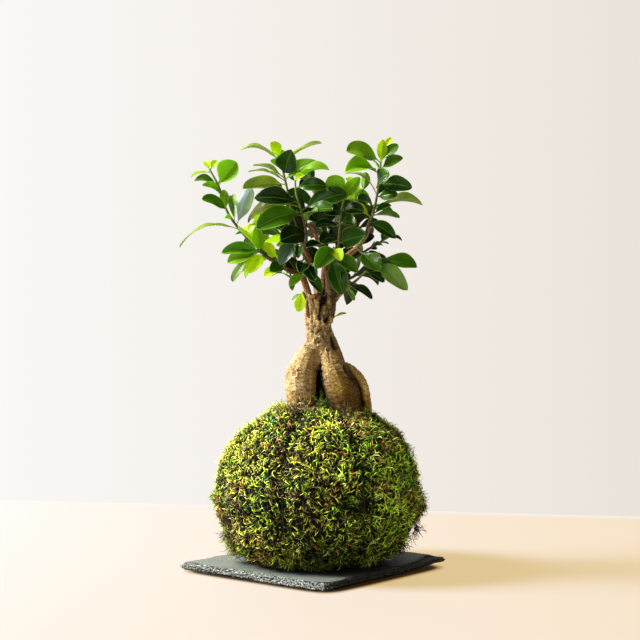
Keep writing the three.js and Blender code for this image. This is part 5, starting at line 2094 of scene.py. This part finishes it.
def leafMaster(materials):
    bpy.ops.object.select_all(action="DESELECT")
    bpy.ops.mesh.primitive_grid_add(x_subdivisions=blade["across"], y_subdivisions=blade["along"], size=2)
    master = newPiece("leafMaster")
    for material in materials:
        master.data.materials.append(material)
    finishWith(master, "SOLIDIFY", thickness=1, offset=0, material_offset=1)
    return master


def bladeOver(master, leaf, tone, seed, look):
    length = leaf["length"] * look.get("long", 1)
    wide = look.get("wide", leaf.get("wide", 1))
    tone = look.get("tone", tone)
    copied = master.copy()
    copied.data = master.data.copy()
    bpy.context.scene.collection.objects.link(copied)
    form = pointsOf(master)
    across, along, layer = form[:, 0], bladeRow((form[:, 1] + 1) / 2), form[:, 2] * 2
    onBlade = np.clip((along - leafForm["stalkShare"]) / blade["onBlade"], 0, 1)
    thick = blade["stalkThickness"] + (blade["thickness"] - blade["stalkThickness"]) * onBlade
    half = bladeHalf(length, along) * (1 + (wide - 1) * onBlade)
    waving = blade["wave"] * length * min(1, length / blade["fullWave"]) ** 2 / 2
    phase = blade["phases"] * draw(seed)
    ripple = np.sin(blade["wavesAlong"] * along + phase + blade["wavesAcross"] * across)
    lean = math.radians(leafForm["fold"] + blade["foldMore"] + blade["foldSpread"] * (draw(seed + 0.7) - 0.5))
    rise = length * leaf["arch"] * 4 * along * (1 - along)
    rise += half * math.sin(lean) * np.abs(across) ** blade["softFold"]
    droop = blade["droop"] * look.get("droop", 1) * draw(seed + 0.9)
    rise -= length * droop * np.maximum(0, along - blade["droopFrom"]) ** 2 * 4
    rise += layer * thick / 2 + waving * onBlade * across**2 * ripple
    rise -= blade["groove"] * np.exp(-((across / blade["grooveWidth"]) ** 2)) * onBlade
    side = np.cross(leaf["heading"], leaf["facing"])
    places = (
        leaf["base"]
        + (length * along)[:, None] * leaf["heading"]
        + rise[:, None] * leaf["facing"]
        + (half * across * math.cos(lean))[:, None] * side
    )
    movePoints(copied, places * mm)
    light = 1 + blade["lightSpread"] * (draw(seed + 0.5) - 0.5)
    paintPoints(copied, "leafColour", np.tile(np.array(tones[tone]) * light, (len(places), 1)))
    return copied


def makeTwig(path, materials):
    count = stem["steps"]
    radii = (stem["start"] + (stem["end"] - stem["start"]) * np.linspace(0, 1, count)) * mm
    path = np.array(finePath(path, count)) * mm
    twig = tubeAlong("twig", path, radii, roundness=2)
    for material in materials:
        twig.data.materials.append(material)
    for face in twig.data.polygons:
        face.material_index = len(materials) - 1
    nearest = [np.argmin(np.linalg.norm(path - point, axis=1)) for point in pointsOf(twig)]
    height = np.array(nearest)[:, None] / (count - 1)
    low, high = np.array(stem["shadeLow"]), np.array(stem["shadeTop"])
    paintPoints(twig, "leafColour", low + (high - low) * height)
    return twig


def makeShoots():
    leaves = settleAllLeaves()
    print("leaves settled:", sum(len(pairs) for pairs in leaves.values()))
    materials = [leafTopMaterial(), leafUnderMaterial(), twigMaterial()]
    master = leafMaster(materials)
    for place, (name, shoot) in enumerate(shoots.items()):
        twig = makeTwig(shoot["twig"], materials)
        blades = [
            bladeOver(master, leaf, tone, 31 * place + number, lookOf(name, number))
            for number, (leaf, tone) in enumerate(leaves[name])
        ]
        pickOnly(twig, *blades)
        bpy.ops.object.join()
        whole = newPiece("leafyShoot_" + name)
        pickOnly(whole)
        bpy.ops.object.shade_smooth_by_angle(angle=math.radians(blade["smoothTurn"]))
        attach(whole, "root")
        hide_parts("leafy_shoot_" + name)
    bpy.data.objects.remove(master)


makeShoots()
print("shoots made")
